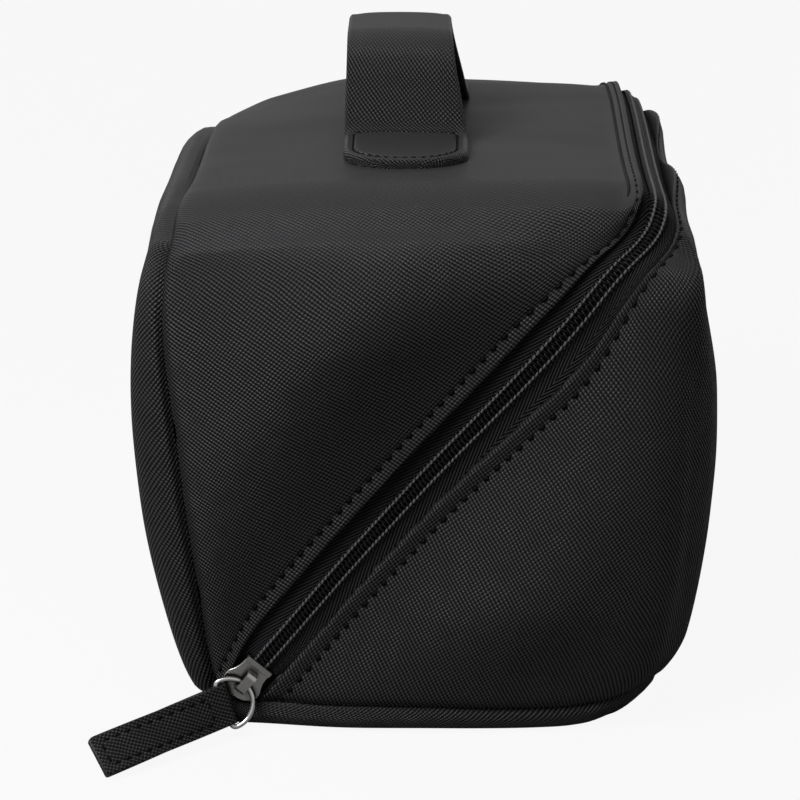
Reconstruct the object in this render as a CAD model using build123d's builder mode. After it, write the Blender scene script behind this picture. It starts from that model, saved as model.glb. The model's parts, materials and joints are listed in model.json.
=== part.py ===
"""Soft-sided cosmetic case that a zip splits from corner to corner. Millimetres, +Z up.

The case stands on its bottom panel, with its long side along Y. The zip climbs one end face from the
lower left corner to the upper right one, runs back along the upper right edge and comes down the
other end face. Above it is the lid, which is the top, the left side and half of each end. Below it
is the base. The lid swings out to the left about the seam at the foot of its side panel.
"""
import math
import os

from build123d import *

os.makedirs("parts", exist_ok=True)

# Driving sizes of the case
case_length = 226.0  # along Y, from end face to end face
foot_width = 144.0  # across the bottom, corner to corner before rounding
top_width = 152.0  # across the top, corner to corner before rounding
corner_height = 154.0  # of the two long top edges before rounding
waist_height = 88.0  # of the fullest part of the two sides
side_bulge = 9.7  # how far each side stands out there from a flat one
crown_rise = 4.6  # of the middle of the top above its long edges
foot_radius = 10.0  # rounding of the two long bottom edges
shoulder_radius = 13.0  # rounding of the long top edge beside the side panel
zip_edge_radius = 11.0  # rounding where the zip's flat meets the top and the right side
end_radius = 8.5  # rounding round each end face

# Wall, from the outside in
skin = 1.1
padding = 4.0
lining = 0.6
ply_gap = 0.1  # between one ply and the next
square_depth = 5.0  # plies deeper than this turn the end corners square, as a sewn lining does
floor_board = 2.0  # thickness of the stiff board in the floor
hem_thickness = 1.9  # skin turned under along the zip
hem_width = 4.2

# Seams
floor_seam_rise = 0.3  # the bottom panel reaches this far above the floor's lining
seam_gap = 0.3
side_seam_inset = 11.5  # from the left outline to the seam of the side panel, seen on the end face
binding_width = 8.0
binding_thickness = 0.9

# Zip
zip_foot_inset = 6.4  # from the left foot corner to where its middle line meets the ground
zip_head_inset = 11.3  # from the right top corner to its highest place, across
zip_head_drop = 4.1  # and down
zip_bend = 20.0  # radius of the track where it leaves the end face
opening_half = 12.0  # from the middle of the zip to the hem on each side
tape_thickness = 0.7
coil_thickness = 1.9
coil_half = 3.2
tooth_pitch = 3.4
tooth_length = 1.45
tooth_overlap = 1.25  # how far a tooth crosses the middle line
lid_tooth_phase = 0.25  # share of a pitch at which the lid's teeth stand
base_tooth_phase = 0.75

# Slider
slider_length = 13.0
slider_shoulder_width = 12.0
slider_rear_width = 8.8
slider_straight = 2.0  # length of the parallel sides at the rear
slider_shoulder = 5.2  # from the nose back to the widest place
slider_plate = 1.1
slider_edge = 0.35
slider_lip_length = 1.5  # of the raised lip along the rear edge
slider_lip_height = 0.45
slider_clearance = 0.25
slider_rest = 22.3  # its place along the zip when the case is shut
post_half_length = 1.3
post_half_width = 1.0
bridge_width = 3.0
bridge_length = 7.2
bridge_bar = 1.2
bridge_opening = 2.2

# Ring and pull tab
ring_seat = -0.9  # where the wire lies in the bridge, along the zip from the slider's middle
ring_wire = 1.5
ring_radius = 7.3  # of the round part, to the middle of the wire
ring_corner = 1.4
ring_turn = 29.0  # the ring is turned this far round in the bridge
ring_lean = 18.0  # and leans out from the end face
tab_width = 12.2
tab_length = 45.0
tab_leather = 0.75
tab_tunnel = 4.0
tab_slack = 0.1  # on each side of the wire, in the fold
tab_play = 0.5  # before and behind the wire, in the fold
tab_edge = 1.5
tab_fold_radius = 1.4
tab_tunnel_radius = 0.7
tab_steps = 3  # lofted spans of the twist
tab_twist = 26.0  # from the fold to the free end
tab_direction = Vector(-0.80, -0.59, -0.11)

# Handle
handle_middle = -5.0  # X of its middle line
handle_width = 33.0
handle_thickness = 4.0
handle_core_thickness = 1.7
handle_rise = 32.0  # of its upper face above the top of the case
handle_half_length = 66.0
handle_foot_half = 36.0  # where it leaves the top
handle_top_half = 25.0
handle_end_radius = 10.0
handle_foot_radius = 7.0
handle_top_radius = 16.0
handle_edge = 2.5  # from the strap's sides to its core
handle_gap = 0.1
anchor_length = 28.0
anchor_thickness = 1.1
anchor_radius = 5.0

overshoot = 1.0  # how far a cutting form runs past what it cuts

# Places that follow from the sizes
foam_depth = skin + ply_gap
lining_depth = foam_depth + padding + ply_gap
wall = lining_depth + lining
floor_seam_height = wall + floor_seam_rise
flat_half_width = (foot_width + (top_width - foot_width) * waist_height / corner_height) / 2
waist_width = 2 * (flat_half_width + side_bulge)
crown_height = corner_height + crown_rise
tape_half = opening_half + hem_width
tape_depth = hem_thickness + ply_gap
coil_depth = tape_depth - coil_thickness

# Shared planes and directions
outward = Vector(0, -1, 0)
zip_origin = Vector(zip_foot_inset - foot_width / 2, 0, 0)
zip_head = Vector(top_width / 2 - zip_head_inset, 0, corner_height - zip_head_drop)
along = (zip_head - zip_origin).normalized()
across = outward.cross(along)
zip_reach = (zip_head - zip_origin).length
zip_angle = math.degrees(math.atan2(along.Z, along.X))
zip_plane = Plane(origin=zip_origin, x_dir=along, z_dir=across)
lid_hem_plane = zip_plane.offset(opening_half)
base_hem_plane = zip_plane.offset(-opening_half)
lid_tape_plane = zip_plane.offset(tape_half + seam_gap)
base_tape_plane = zip_plane.offset(-tape_half - seam_gap)
floor_seam = Plane.XY.offset(floor_seam_height)
wall_foot = Plane.XY.offset(floor_seam_height + seam_gap)


def case_body(inset):
    """The closed form of the case, with every face moved in by inset, to the nearest micron."""
    inset = round(inset, 3)
    cut_middle = zip_origin + along * (zip_reach - case_length)
    with BuildPart() as body:
        with BuildSketch(Plane.XZ) as section:
            with BuildLine():
                Line((-foot_width / 2, 0), (foot_width / 2, 0))
                ThreePointArc((foot_width / 2, 0), (waist_width / 2, waist_height),
                              (top_width / 2, corner_height))
                ThreePointArc((top_width / 2, corner_height), (0, crown_height),
                              (-top_width / 2, corner_height))
                ThreePointArc((-top_width / 2, corner_height), (-waist_width / 2, waist_height),
                              (-foot_width / 2, 0))
            make_face()
            with Locations((cut_middle.X, cut_middle.Z)):
                Rectangle(2 * case_length, 3 * case_length, rotation=zip_angle, mode=Mode.INTERSECT)
            corners = section.vertices().sort_by(Axis.Y)
            fillet(corners[:2], foot_radius)
            upper = [corner for corner in section.vertices() if corner.Y > waist_height]
            fillet([corner for corner in upper if corner.X > 0], zip_edge_radius)
            fillet([corner for corner in upper if corner.X < 0], shoulder_radius)
            if inset > 0:
                offset(amount=-inset, mode=Mode.REPLACE)
        extrude(amount=case_length / 2 - inset, both=True)
        if inset < square_depth:
            fillet(body.faces().filter_by(Axis.Y).edges(), end_radius - inset)
        with BuildSketch(zip_plane):
            with Locations((zip_reach - inset - case_length, 0)):
                RectangleRounded(2 * case_length, case_length - 2 * inset, zip_bend - inset)
        extrude(amount=case_length, both=True, mode=Mode.INTERSECT)
    return body.part


def ply(depth, thickness):
    """A closed wall of the case, from depth below the outer face."""
    with BuildPart() as wall_ply:
        add(case_body(depth))
        add(case_body(depth + thickness), mode=Mode.SUBTRACT)
    return wall_ply.part


def side_zone(margin):
    """Everything to the left of the side panel's seam, moved margin to the right."""
    inset = side_seam_inset + margin
    with BuildPart() as zone:
        with BuildSketch(Plane.XZ):
            with BuildLine():
                foot = (inset - foot_width / 2, -overshoot)
                head = (inset - top_width / 2, crown_height + overshoot)
                ThreePointArc(foot, (inset - waist_width / 2, waist_height), head)
                Polyline(head, (-waist_width, crown_height + overshoot),
                         (-waist_width, -overshoot), foot)
            make_face()
        extrude(amount=case_length, both=True)
    return zone.part


def zip_track(depth, thickness, start, low, high):
    """A band that follows the zip, depth below the outer face, from low to high across it."""
    span = 2 * case_length
    with BuildPart() as track:
        with BuildSketch(zip_plane.offset(low)):
            with Locations((zip_reach - depth - span / 2, 0)):
                RectangleRounded(span, case_length - 2 * depth, zip_bend - depth)
            inner = depth + thickness
            with Locations((zip_reach - inner - span / 2, 0)):
                RectangleRounded(span, case_length - 2 * inner, zip_bend - inner, mode=Mode.SUBTRACT)
            with Locations((start - span / 2, 0)):
                Rectangle(span, 2 * case_length, mode=Mode.SUBTRACT)
        extrude(amount=high - low)
    return track.part


def wall_opening(low, high):
    """What the zip takes out of a wall near the track, from low to high across the zip."""
    return zip_track(-seam_gap, 2 * wall, -case_length / 4, low, high)


def track_length(depth):
    """Length of the zip's track, depth below the outer face, from its foot round to its foot."""
    climb_run = zip_reach - zip_bend
    return 2 * climb_run + math.pi * (zip_bend - depth) + case_length - 2 * zip_bend


def track_place(distance, depth):
    """Place on the track: how far along and beside the zip's plane, and which way it runs."""
    climb_run = zip_reach - zip_bend
    turn_radius = zip_bend - depth
    bend_run = math.pi / 2 * turn_radius
    back_run = case_length - 2 * zip_bend
    half_width = case_length / 2
    if distance < climb_run:
        return distance, depth - half_width, 0
    distance -= climb_run
    if distance < bend_run:
        turn = distance / turn_radius
        return (climb_run + turn_radius * math.sin(turn),
                zip_bend - half_width - turn_radius * math.cos(turn), math.degrees(turn))
    distance -= bend_run
    if distance < back_run:
        return zip_reach - depth, zip_bend - half_width + distance, 90
    distance -= back_run
    if distance < bend_run:
        turn = distance / turn_radius
        return (climb_run + turn_radius * math.cos(turn),
                half_width - zip_bend + turn_radius * math.sin(turn), 90 + math.degrees(turn))
    return climb_run - (distance - bend_run), half_width - depth, 180


skin_ply = ply(0, skin)
foam_ply = ply(foam_depth, padding)
lining_ply = ply(lining_depth, lining)
binding_ply = ply(wall + ply_gap, binding_thickness)
side_cut = side_zone(0)
side_cut_wide = side_zone(seam_gap)
outer_form = case_body(0)
padded_form = case_body(foam_depth)
hem_depth = skin - ply_gap
hem_ply = hem_thickness - hem_depth
lid_hem = zip_track(hem_depth, hem_ply, 0, opening_half, opening_half + hem_width)
base_hem = zip_track(hem_depth, hem_ply, 0, -opening_half - hem_width, -opening_half)
far_below = -2 * case_length
skin_opening = wall_opening(far_below, opening_half)
foam_opening = wall_opening(far_below, tape_half + seam_gap)

# Skin of the lid: the top runs down into the upper half of both ends without a seam
with BuildPart() as lid_top_panel:
    add(skin_ply)
    split(bisect_by=lid_hem_plane, keep=Keep.TOP)
    add(lid_hem)
    add(outer_form, mode=Mode.INTERSECT)
    split(bisect_by=wall_foot, keep=Keep.TOP)
    add(side_cut_wide, mode=Mode.SUBTRACT)
lid_top_panel.part.label = "lid_top_panel"
export_step(lid_top_panel.part, "parts/lid_top_panel.step")

# Side panel of the lid, which wraps round both corners to its seams
with BuildPart() as lid_side_panel:
    add(skin_ply)
    add(lid_hem)
    add(outer_form, mode=Mode.INTERSECT)
    add(side_cut, mode=Mode.INTERSECT)
    add(skin_opening, mode=Mode.SUBTRACT)
    split(bisect_by=wall_foot, keep=Keep.TOP)
lid_side_panel.part.label = "lid_side_panel"
export_step(lid_side_panel.part, "parts/lid_side_panel.step")

# Skin of the base: the right side runs round into the lower half of both ends
with BuildPart() as base_wall_panel:
    add(skin_ply)
    split(bisect_by=base_hem_plane, keep=Keep.BOTTOM)
    add(base_hem)
    add(outer_form, mode=Mode.INTERSECT)
    split(bisect_by=wall_foot, keep=Keep.TOP)
base_wall_panel.part.label = "base_wall_panel"
export_step(base_wall_panel.part, "parts/base_wall_panel.step")

with BuildPart() as base_bottom_panel:
    add(skin_ply)
    split(bisect_by=floor_seam, keep=Keep.BOTTOM)
base_bottom_panel.part.label = "base_bottom_panel"
export_step(base_bottom_panel.part, "parts/base_bottom_panel.step")

# Reinforcing patches under the handle's ends, let into the foam of the top
anchor_middle = handle_half_length - anchor_length / 2
with BuildPart() as handle_anchor_patches:
    add(ply(foam_depth, anchor_thickness))
    with BuildSketch(Plane.XY.offset(waist_height)):
        with Locations((handle_middle, -anchor_middle), (handle_middle, anchor_middle)):
            RectangleRounded(handle_width, anchor_length, anchor_radius)
    extrude(amount=crown_height, mode=Mode.INTERSECT)
handle_anchor_patches.part.label = "handle_anchor_patches"
export_step(handle_anchor_patches.part, "parts/handle_anchor_patches.step")

with BuildPart() as anchor_pockets:
    add(ply(foam_depth, anchor_thickness + ply_gap))
    with BuildSketch(Plane.XY.offset(waist_height)):
        with Locations((handle_middle, -anchor_middle), (handle_middle, anchor_middle)):
            RectangleRounded(handle_width + 2 * ply_gap, anchor_length + 2 * ply_gap,
                             anchor_radius + ply_gap)
    extrude(amount=crown_height, mode=Mode.INTERSECT)

# Foam of the lid, in the same two panels as its skin
with BuildPart() as lid_top_foam:
    add(foam_ply)
    split(bisect_by=lid_tape_plane, keep=Keep.TOP)
    split(bisect_by=wall_foot, keep=Keep.TOP)
    add(side_cut_wide, mode=Mode.SUBTRACT)
    add(anchor_pockets.part, mode=Mode.SUBTRACT)
lid_top_foam.part.label = "lid_top_foam"
export_step(lid_top_foam.part, "parts/lid_top_foam.step")

with BuildPart() as lid_side_foam:
    add(foam_ply)
    add(side_cut, mode=Mode.INTERSECT)
    add(foam_opening, mode=Mode.SUBTRACT)
    split(bisect_by=wall_foot, keep=Keep.TOP)
lid_side_foam.part.label = "lid_side_foam"
export_step(lid_side_foam.part, "parts/lid_side_foam.step")

# Lining of the lid, one cloth over both foams
with BuildPart() as lid_side_lining:
    add(lining_ply)
    add(side_cut, mode=Mode.INTERSECT)
    add(skin_opening, mode=Mode.SUBTRACT)
    split(bisect_by=wall_foot, keep=Keep.TOP)
with BuildPart() as lid_top_lining:
    add(lining_ply)
    split(bisect_by=lid_hem_plane, keep=Keep.TOP)
    add(side_cut, mode=Mode.SUBTRACT)
    split(bisect_by=wall_foot, keep=Keep.TOP)
with BuildPart() as lid_lining:
    add(lid_side_lining.part)
    add(lid_top_lining.part)
lid_lining.part.label = "lid_lining"
export_step(lid_lining.part, "parts/lid_lining.step")

# Binding tape over the raw edges of the side panel's seam, inside the case
with BuildPart() as lid_seam_binding:
    add(binding_ply)
    add(side_zone(binding_width / 2), mode=Mode.INTERSECT)
    add(side_zone(-binding_width / 2), mode=Mode.SUBTRACT)
    split(bisect_by=lid_hem_plane, keep=Keep.TOP)
lid_seam_binding.part.label = "lid_seam_binding"
export_step(lid_seam_binding.part, "parts/lid_seam_binding.step")

# Binding tape along the foot of the side panel, where the lid is sewn to the bottom
with BuildPart() as hinge_binding:
    add(binding_ply)
    add(side_cut, mode=Mode.INTERSECT)
    add(wall_opening(far_below, opening_half + binding_width), mode=Mode.SUBTRACT)
    split(bisect_by=wall_foot.offset(binding_thickness), keep=Keep.TOP)
    split(bisect_by=wall_foot.offset(binding_width), keep=Keep.BOTTOM)
hinge_binding.part.label = "hinge_binding"
export_step(hinge_binding.part, "parts/hinge_binding.step")

# Base: foam, lining, board and floor pad
with BuildPart() as base_wall_foam:
    add(foam_ply)
    split(bisect_by=base_tape_plane, keep=Keep.BOTTOM)
    split(bisect_by=wall_foot, keep=Keep.TOP)
base_wall_foam.part.label = "base_wall_foam"
export_step(base_wall_foam.part, "parts/base_wall_foam.step")

with BuildPart() as base_wall_lining:
    add(lining_ply)
    split(bisect_by=base_hem_plane, keep=Keep.BOTTOM)
    split(bisect_by=wall_foot, keep=Keep.TOP)
base_wall_lining.part.label = "base_wall_lining"
export_step(base_wall_lining.part, "parts/base_wall_lining.step")

with BuildPart() as base_seam_binding:
    add(binding_ply)
    split(bisect_by=base_hem_plane, keep=Keep.BOTTOM)
    split(bisect_by=wall_foot.offset(binding_thickness), keep=Keep.TOP)
    split(bisect_by=wall_foot.offset(binding_width), keep=Keep.BOTTOM)
base_seam_binding.part.label = "base_seam_binding"
export_step(base_seam_binding.part, "parts/base_seam_binding.step")

floor_board_top = foam_depth + floor_board
floor_pad_top = lining_depth - ply_gap
with BuildPart() as base_floor_board:
    add(padded_form)
    split(bisect_by=Plane.XY.offset(floor_board_top), keep=Keep.BOTTOM)
base_floor_board.part.label = "base_floor_board"
export_step(base_floor_board.part, "parts/base_floor_board.step")

with BuildPart() as base_floor_pad:
    add(padded_form)
    split(bisect_by=Plane.XY.offset(floor_board_top + ply_gap), keep=Keep.TOP)
    split(bisect_by=Plane.XY.offset(floor_pad_top), keep=Keep.BOTTOM)
base_floor_pad.part.label = "base_floor_pad"
export_step(base_floor_pad.part, "parts/base_floor_pad.step")

with BuildPart() as base_floor_lining:
    add(padded_form)
    split(bisect_by=Plane.XY.offset(lining_depth), keep=Keep.TOP)
    split(bisect_by=Plane.XY.offset(wall), keep=Keep.BOTTOM)
base_floor_lining.part.label = "base_floor_lining"
export_step(base_floor_lining.part, "parts/base_floor_lining.step")

# Zip tapes, sewn behind the hems
tape_form = case_body(tape_depth)
with BuildPart() as lid_zip_tape:
    add(zip_track(tape_depth, tape_thickness, 0, tooth_overlap, tape_half))
    add(tape_form, mode=Mode.INTERSECT)
    split(bisect_by=wall_foot, keep=Keep.TOP)
lid_zip_tape.part.label = "lid_zip_tape"
export_step(lid_zip_tape.part, "parts/lid_zip_tape.step")

with BuildPart() as base_zip_tape:
    add(zip_track(tape_depth, tape_thickness, 0, -tape_half, -tooth_overlap))
    add(tape_form, mode=Mode.INTERSECT)
    split(bisect_by=wall_foot, keep=Keep.TOP)
base_zip_tape.part.label = "base_zip_tape"
export_step(base_zip_tape.part, "parts/base_zip_tape.step")

# Toothed coils. The teeth of one side fill the gaps of the other, from the slider to the far foot
post_place = slider_plate + post_half_length - slider_length / 2
coil_start = slider_rest + post_place + post_half_length + slider_clearance
tooth_middle = coil_depth + coil_thickness / 2
full_run = track_length(tooth_middle)
pitch_count = int((full_run - 2 * coil_start) / tooth_pitch)
lid_teeth = [coil_start + tooth_pitch * (count + lid_tooth_phase) for count in range(pitch_count)]
base_teeth = [coil_start + tooth_pitch * (count + base_tooth_phase) for count in range(pitch_count)]


def coil(teeth, low, high, root_low, root_high):
    """One side of the coil: teeth from low to high across the zip, on a root strip."""
    places = [track_place(distance, tooth_middle) for distance in teeth]
    spots = [Location((run, side, 0), (0, 0, turn)) for run, side, turn in places]
    with BuildPart() as half:
        add(zip_track(coil_depth, coil_thickness, coil_start, root_low, root_high))
        with BuildSketch(zip_plane.offset(low)):
            with Locations(*spots):
                Rectangle(tooth_length, coil_thickness - 2 * ply_gap)
        extrude(amount=high - low)
    return half.part


with BuildPart() as lid_coil:
    add(coil(lid_teeth, -tooth_overlap, tooth_overlap + ply_gap, tooth_overlap + ply_gap, coil_half))
lid_coil.part.label = "lid_coil"
export_step(lid_coil.part, "parts/lid_coil.step")

with BuildPart() as base_coil:
    add(coil(base_teeth, -tooth_overlap - ply_gap, tooth_overlap, -coil_half,
             -tooth_overlap - ply_gap))
base_coil.part.label = "base_coil"
export_step(base_coil.part, "parts/base_coil.step")

# Slider: two plates joined by the post that parts the coils, with a bridge for the ring
channel_half = (coil_thickness + tape_thickness) / 2 + slider_clearance
slider_depth = coil_depth + (coil_thickness + tape_thickness) / 2
slider_middle = zip_origin + along * slider_rest + outward * (case_length / 2 - slider_depth)
slider_plane = Plane(origin=slider_middle, x_dir=along, z_dir=outward)
bridge_plane = Plane(origin=slider_middle, x_dir=along, z_dir=across * -1)
half_rear = slider_rear_width / 2
half_shoulder = slider_shoulder_width / 2
half_slider = slider_length / 2
neck = half_slider - slider_straight
shoulder = slider_shoulder - half_slider
plate_top = channel_half + slider_plate

with BuildPart() as slider_body:
    for plate_foot in (channel_half, -plate_top):
        with BuildSketch(slider_plane.offset(plate_foot)):
            with BuildLine():
                Line((half_slider, -half_rear), (half_slider, half_rear))
                Line((half_slider, half_rear), (neck, half_rear))
                Spline((neck, half_rear), (shoulder, half_shoulder),
                       (-half_slider, 0), tangents=((-1, 0), (0, -1)))
                Spline((-half_slider, 0), (shoulder, -half_shoulder),
                       (neck, -half_rear), tangents=((0, -1), (1, 0)))
                Line((neck, -half_rear), (half_slider, -half_rear))
            make_face()
        extrude(amount=slider_plate)
    fillet(slider_body.faces().sort_by(Axis.Y)[0].edges(), slider_edge)
    with BuildSketch(slider_plane.offset(-channel_half)):
        with Locations((post_place, 0)):
            Ellipse(post_half_length, post_half_width)
    extrude(amount=2 * channel_half)
    flange_low = channel_half - coil_thickness - slider_clearance
    flange_wall = half_rear - coil_half - slider_clearance
    with BuildSketch(slider_plane.offset(flange_low)):
        with Locations((half_slider / 2, half_rear - flange_wall / 2),
                       (half_slider / 2, flange_wall / 2 - half_rear)):
            Rectangle(half_slider, flange_wall)
    extrude(amount=channel_half - flange_low)
    with BuildSketch(slider_plane.offset(plate_top)):
        with Locations((half_slider - slider_lip_length / 2, 0)):
            RectangleRounded(slider_lip_length, slider_rear_width, slider_edge)
    extrude(amount=slider_lip_height)
    bridge_height = bridge_opening + bridge_bar
    with BuildSketch(bridge_plane) as bridge_side:
        with Locations((0, plate_top + bridge_height / 2)):
            Rectangle(bridge_length, bridge_height)
        fillet(bridge_side.vertices().sort_by(Axis.Y)[-2:], bridge_height / 2)
        with Locations((0, plate_top + bridge_opening / 2)):
            Rectangle(bridge_length - 2 * bridge_bar, bridge_opening, mode=Mode.SUBTRACT)
    extrude(amount=bridge_width / 2, both=True)
slider_body.part.label = "slider_body"
export_step(slider_body.part, "parts/slider_body.step")

# Wire ring through the bridge, round where it pulls and straight where the tab holds it
bridge_pivot = bridge_plane.from_local_coords(
    (ring_seat, plate_top + bridge_opening / 2, 0))
lean = math.radians(ring_lean)
turn = math.radians(ring_turn)
pivot_to_ring = along * -math.cos(lean) + outward * math.sin(lean)
ring_middle = bridge_pivot + pivot_to_ring * ring_radius
bar_direction = across * -math.cos(turn) + pivot_to_ring * math.sin(turn)
ring_crown = across * -math.sin(turn) - pivot_to_ring * math.cos(turn)
ring_plane = Plane(origin=ring_middle, x_dir=bar_direction, z_dir=bar_direction.cross(ring_crown))
with BuildPart() as pull_ring:
    with BuildLine(ring_plane) as ring_path:
        CenterArc((0, 0), ring_radius, 0, 180)
        CenterArc((ring_corner - ring_radius, 0), ring_corner, 180, 90)
        Line((ring_corner - ring_radius, -ring_corner), (ring_radius - ring_corner, -ring_corner))
        CenterArc((ring_radius - ring_corner, 0), ring_corner, 270, 90)
    with BuildSketch(Plane(origin=ring_plane.from_local_coords((ring_radius, 0, 0)),
                           z_dir=ring_crown)):
        Circle(ring_wire / 2)
    sweep(path=ring_path.wire())
pull_ring.part.label = "pull_ring"
export_step(pull_ring.part, "parts/pull_ring.step")

# Pull tab: a leather strip folded over the straight side of the ring, round a filler
bar_middle = ring_middle - ring_crown * ring_corner
tab_run = tab_direction.normalized()
tab_side = (bar_direction - tab_run * bar_direction.dot(tab_run)).normalized()
tab_normal = tab_run.cross(tab_side)
tunnel_thickness = ring_wire + 2 * tab_slack
tab_thickness = tunnel_thickness + 2 * tab_leather
bar_yaw = abs(math.tan(math.acos(bar_direction.dot(tab_side)))) * tab_width / 2
tunnel_reach = ring_wire / 2 + bar_yaw + tab_play
fold_reach = tunnel_reach + tab_leather
fold_plane = Plane(origin=bar_middle, x_dir=tab_run, z_dir=tab_side * -1)


def tab_section(distance, width, thickness):
    """Rectangle across the tab, distance from the ring's bar, turned by its share of the twist."""
    share = (distance - tab_tunnel) / (tab_length - fold_reach - tab_tunnel)
    angle = math.radians(tab_twist * share)
    side = tab_side * math.cos(angle) + tab_normal * math.sin(angle)
    plane = Plane(origin=bar_middle + tab_run * distance, x_dir=side, z_dir=tab_run)
    with BuildSketch(plane) as section:
        Rectangle(width, thickness)
    return section.sketch


tab_end = tab_length - fold_reach
tab_span = (tab_end - tab_tunnel) / tab_steps
filler_span = (tab_end - 2 * tab_tunnel) / tab_steps
tab_stations = [tab_tunnel + tab_span * step for step in range(tab_steps + 1)]
filler_stations = [tab_tunnel + tab_slack + filler_span * step for step in range(tab_steps + 1)]
with BuildPart() as pull_tab_filler:
    loft([tab_section(distance, tab_width - 2 * tab_edge, tunnel_thickness - 2 * tab_slack)
          for distance in filler_stations])
pull_tab_filler.part.label = "pull_tab_filler"
export_step(pull_tab_filler.part, "parts/pull_tab_filler.step")

with BuildPart() as pull_tab_leather:
    with BuildSketch(fold_plane) as fold_side:
        with Locations(((tab_tunnel - fold_reach) / 2, 0)):
            Rectangle(tab_tunnel + fold_reach, tab_thickness)
        fillet(fold_side.vertices().sort_by(Axis.X)[:2], tab_fold_radius)
    extrude(amount=tab_width / 2, both=True)
    loft([tab_section(distance, tab_width, tab_thickness) for distance in tab_stations])
    with BuildSketch(fold_plane) as tunnel_side:
        with Locations(((tab_tunnel - tunnel_reach) / 2, 0)):
            Rectangle(tab_tunnel + tunnel_reach, tunnel_thickness)
        fillet(tunnel_side.vertices().sort_by(Axis.X)[:2], tab_tunnel_radius)
    extrude(amount=tab_width, both=True, mode=Mode.SUBTRACT)
    loft([tab_section(distance, tab_width - 2 * tab_edge + 2 * tab_slack, tunnel_thickness)
          for distance in [tab_tunnel - tab_slack] + filler_stations[1:]], mode=Mode.SUBTRACT)
pull_tab_leather.part.label = "pull_tab_leather"
export_step(pull_tab_leather.part, "parts/pull_tab_leather.step")

# Handle: a padded strap whose ends are stitched flat to the top
strap_middle = crown_height + handle_gap + handle_thickness / 2
strap_crown = crown_height + handle_rise - handle_thickness / 2


def strap(thickness, half_length, width):
    """The strap's arch with its two flat ends, thickness deep about its middle line."""
    with BuildPart() as arch:
        with BuildSketch(Plane.YZ.offset(handle_middle)):
            with BuildLine():
                FilletPolyline((-half_length, strap_middle), (-handle_foot_half, strap_middle),
                               (-handle_top_half, strap_crown), (handle_top_half, strap_crown),
                               (handle_foot_half, strap_middle), (half_length, strap_middle),
                               radius=(handle_foot_radius, handle_top_radius, handle_top_radius,
                                       handle_foot_radius))
                offset(amount=thickness / 2, side=Side.BOTH)
            make_face()
        extrude(amount=width / 2, both=True)
    return arch.part


core_half_length = handle_foot_half + handle_foot_radius
core_width = handle_width - 2 * handle_edge
with BuildPart() as handle_core:
    add(strap(handle_core_thickness, core_half_length, core_width))
handle_core.part.label = "handle_core"
export_step(handle_core.part, "parts/handle_core.step")

with BuildPart() as handle_strap:
    add(strap(handle_thickness, handle_half_length, handle_width))
    with BuildSketch(Plane.XY.offset(corner_height)):
        with Locations((handle_middle, 0)):
            RectangleRounded(handle_width, 2 * handle_half_length, handle_end_radius)
    extrude(amount=2 * handle_rise, mode=Mode.INTERSECT)
    add(strap(handle_core_thickness + 2 * ply_gap, core_half_length, core_width + 2 * ply_gap),
        mode=Mode.SUBTRACT)
handle_strap.part.label = "handle_strap"
export_step(handle_strap.part, "parts/handle_strap.step")

print("lid hinge height", floor_seam_height + seam_gap / 2)
print("ring pivot", bridge_pivot, "axis", across)
print("tab pivot", bar_middle, "axis", bar_direction)
print("slider travel", zip_reach - zip_bend - half_slider - slider_rest, "along", along)
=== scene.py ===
"""Soft-sided cosmetic case of embossed black sheet, shut by a zip from corner to corner.

Sizes are in metres, in the frame's own axes: +Z up, Y along the case's long side and -Y out of the end
face that carries the slider. The skins, linings and bindings are grown from one closed form, which is cut
along the zip, the side panel's seam and the floor seam.
"""
import json
import logging
import math
from dataclasses import dataclass, field
from enum import Enum
from typing import Callable, Iterable, Sequence

import bmesh
import bpy
import numpy as np
from mathutils import Euler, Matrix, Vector, noise


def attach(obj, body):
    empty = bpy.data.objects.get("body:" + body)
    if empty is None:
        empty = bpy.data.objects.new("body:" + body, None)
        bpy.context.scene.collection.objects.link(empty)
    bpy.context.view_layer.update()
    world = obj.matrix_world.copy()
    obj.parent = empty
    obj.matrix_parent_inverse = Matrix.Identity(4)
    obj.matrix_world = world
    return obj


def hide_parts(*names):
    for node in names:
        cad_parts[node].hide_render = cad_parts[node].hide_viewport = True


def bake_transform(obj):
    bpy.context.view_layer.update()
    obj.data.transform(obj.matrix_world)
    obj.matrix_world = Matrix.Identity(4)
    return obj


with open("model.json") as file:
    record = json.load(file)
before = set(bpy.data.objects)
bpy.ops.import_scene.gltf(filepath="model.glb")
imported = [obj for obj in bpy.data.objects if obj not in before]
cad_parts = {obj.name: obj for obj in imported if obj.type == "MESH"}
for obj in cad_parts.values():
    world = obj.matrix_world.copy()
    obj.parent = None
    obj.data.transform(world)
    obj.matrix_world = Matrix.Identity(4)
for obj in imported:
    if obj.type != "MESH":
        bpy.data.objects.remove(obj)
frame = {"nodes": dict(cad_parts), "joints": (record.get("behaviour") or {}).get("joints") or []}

log = logging.getLogger("case")
Array = np.ndarray
Field = Callable[[Array, Array], Array]
MM = 0.001


class Body(Enum):
    """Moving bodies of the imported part."""

    BASE = "base"
    LID = "lid"
    SLIDER = "slider"
    RING = "ring"
    TAB = "tab"


def linear(colour: str) -> tuple[float, float, float, float]:
    """Turns an sRGB hex colour into linear light.

    Args:
        colour: Hex digits with a leading hash, such as "#1b1b1d".

    Returns:
        Red, green, blue and an alpha of 1.
    """
    channels = [int(colour[place:place + 2], 16) / 255 for place in (1, 3, 5)]
    light = [c / 12.92 if c <= 0.04045 else ((c + 0.055) / 1.055) ** 2.4 for c in channels]
    return light[0], light[1], light[2], 1.0


def scaled(colour: str, share: float) -> tuple[float, float, float, float]:
    """A hex colour in linear light, made darker or lighter by a share."""
    red, green, blue, alpha = linear(colour)
    return red * share, green * share, blue * share, alpha


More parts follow.
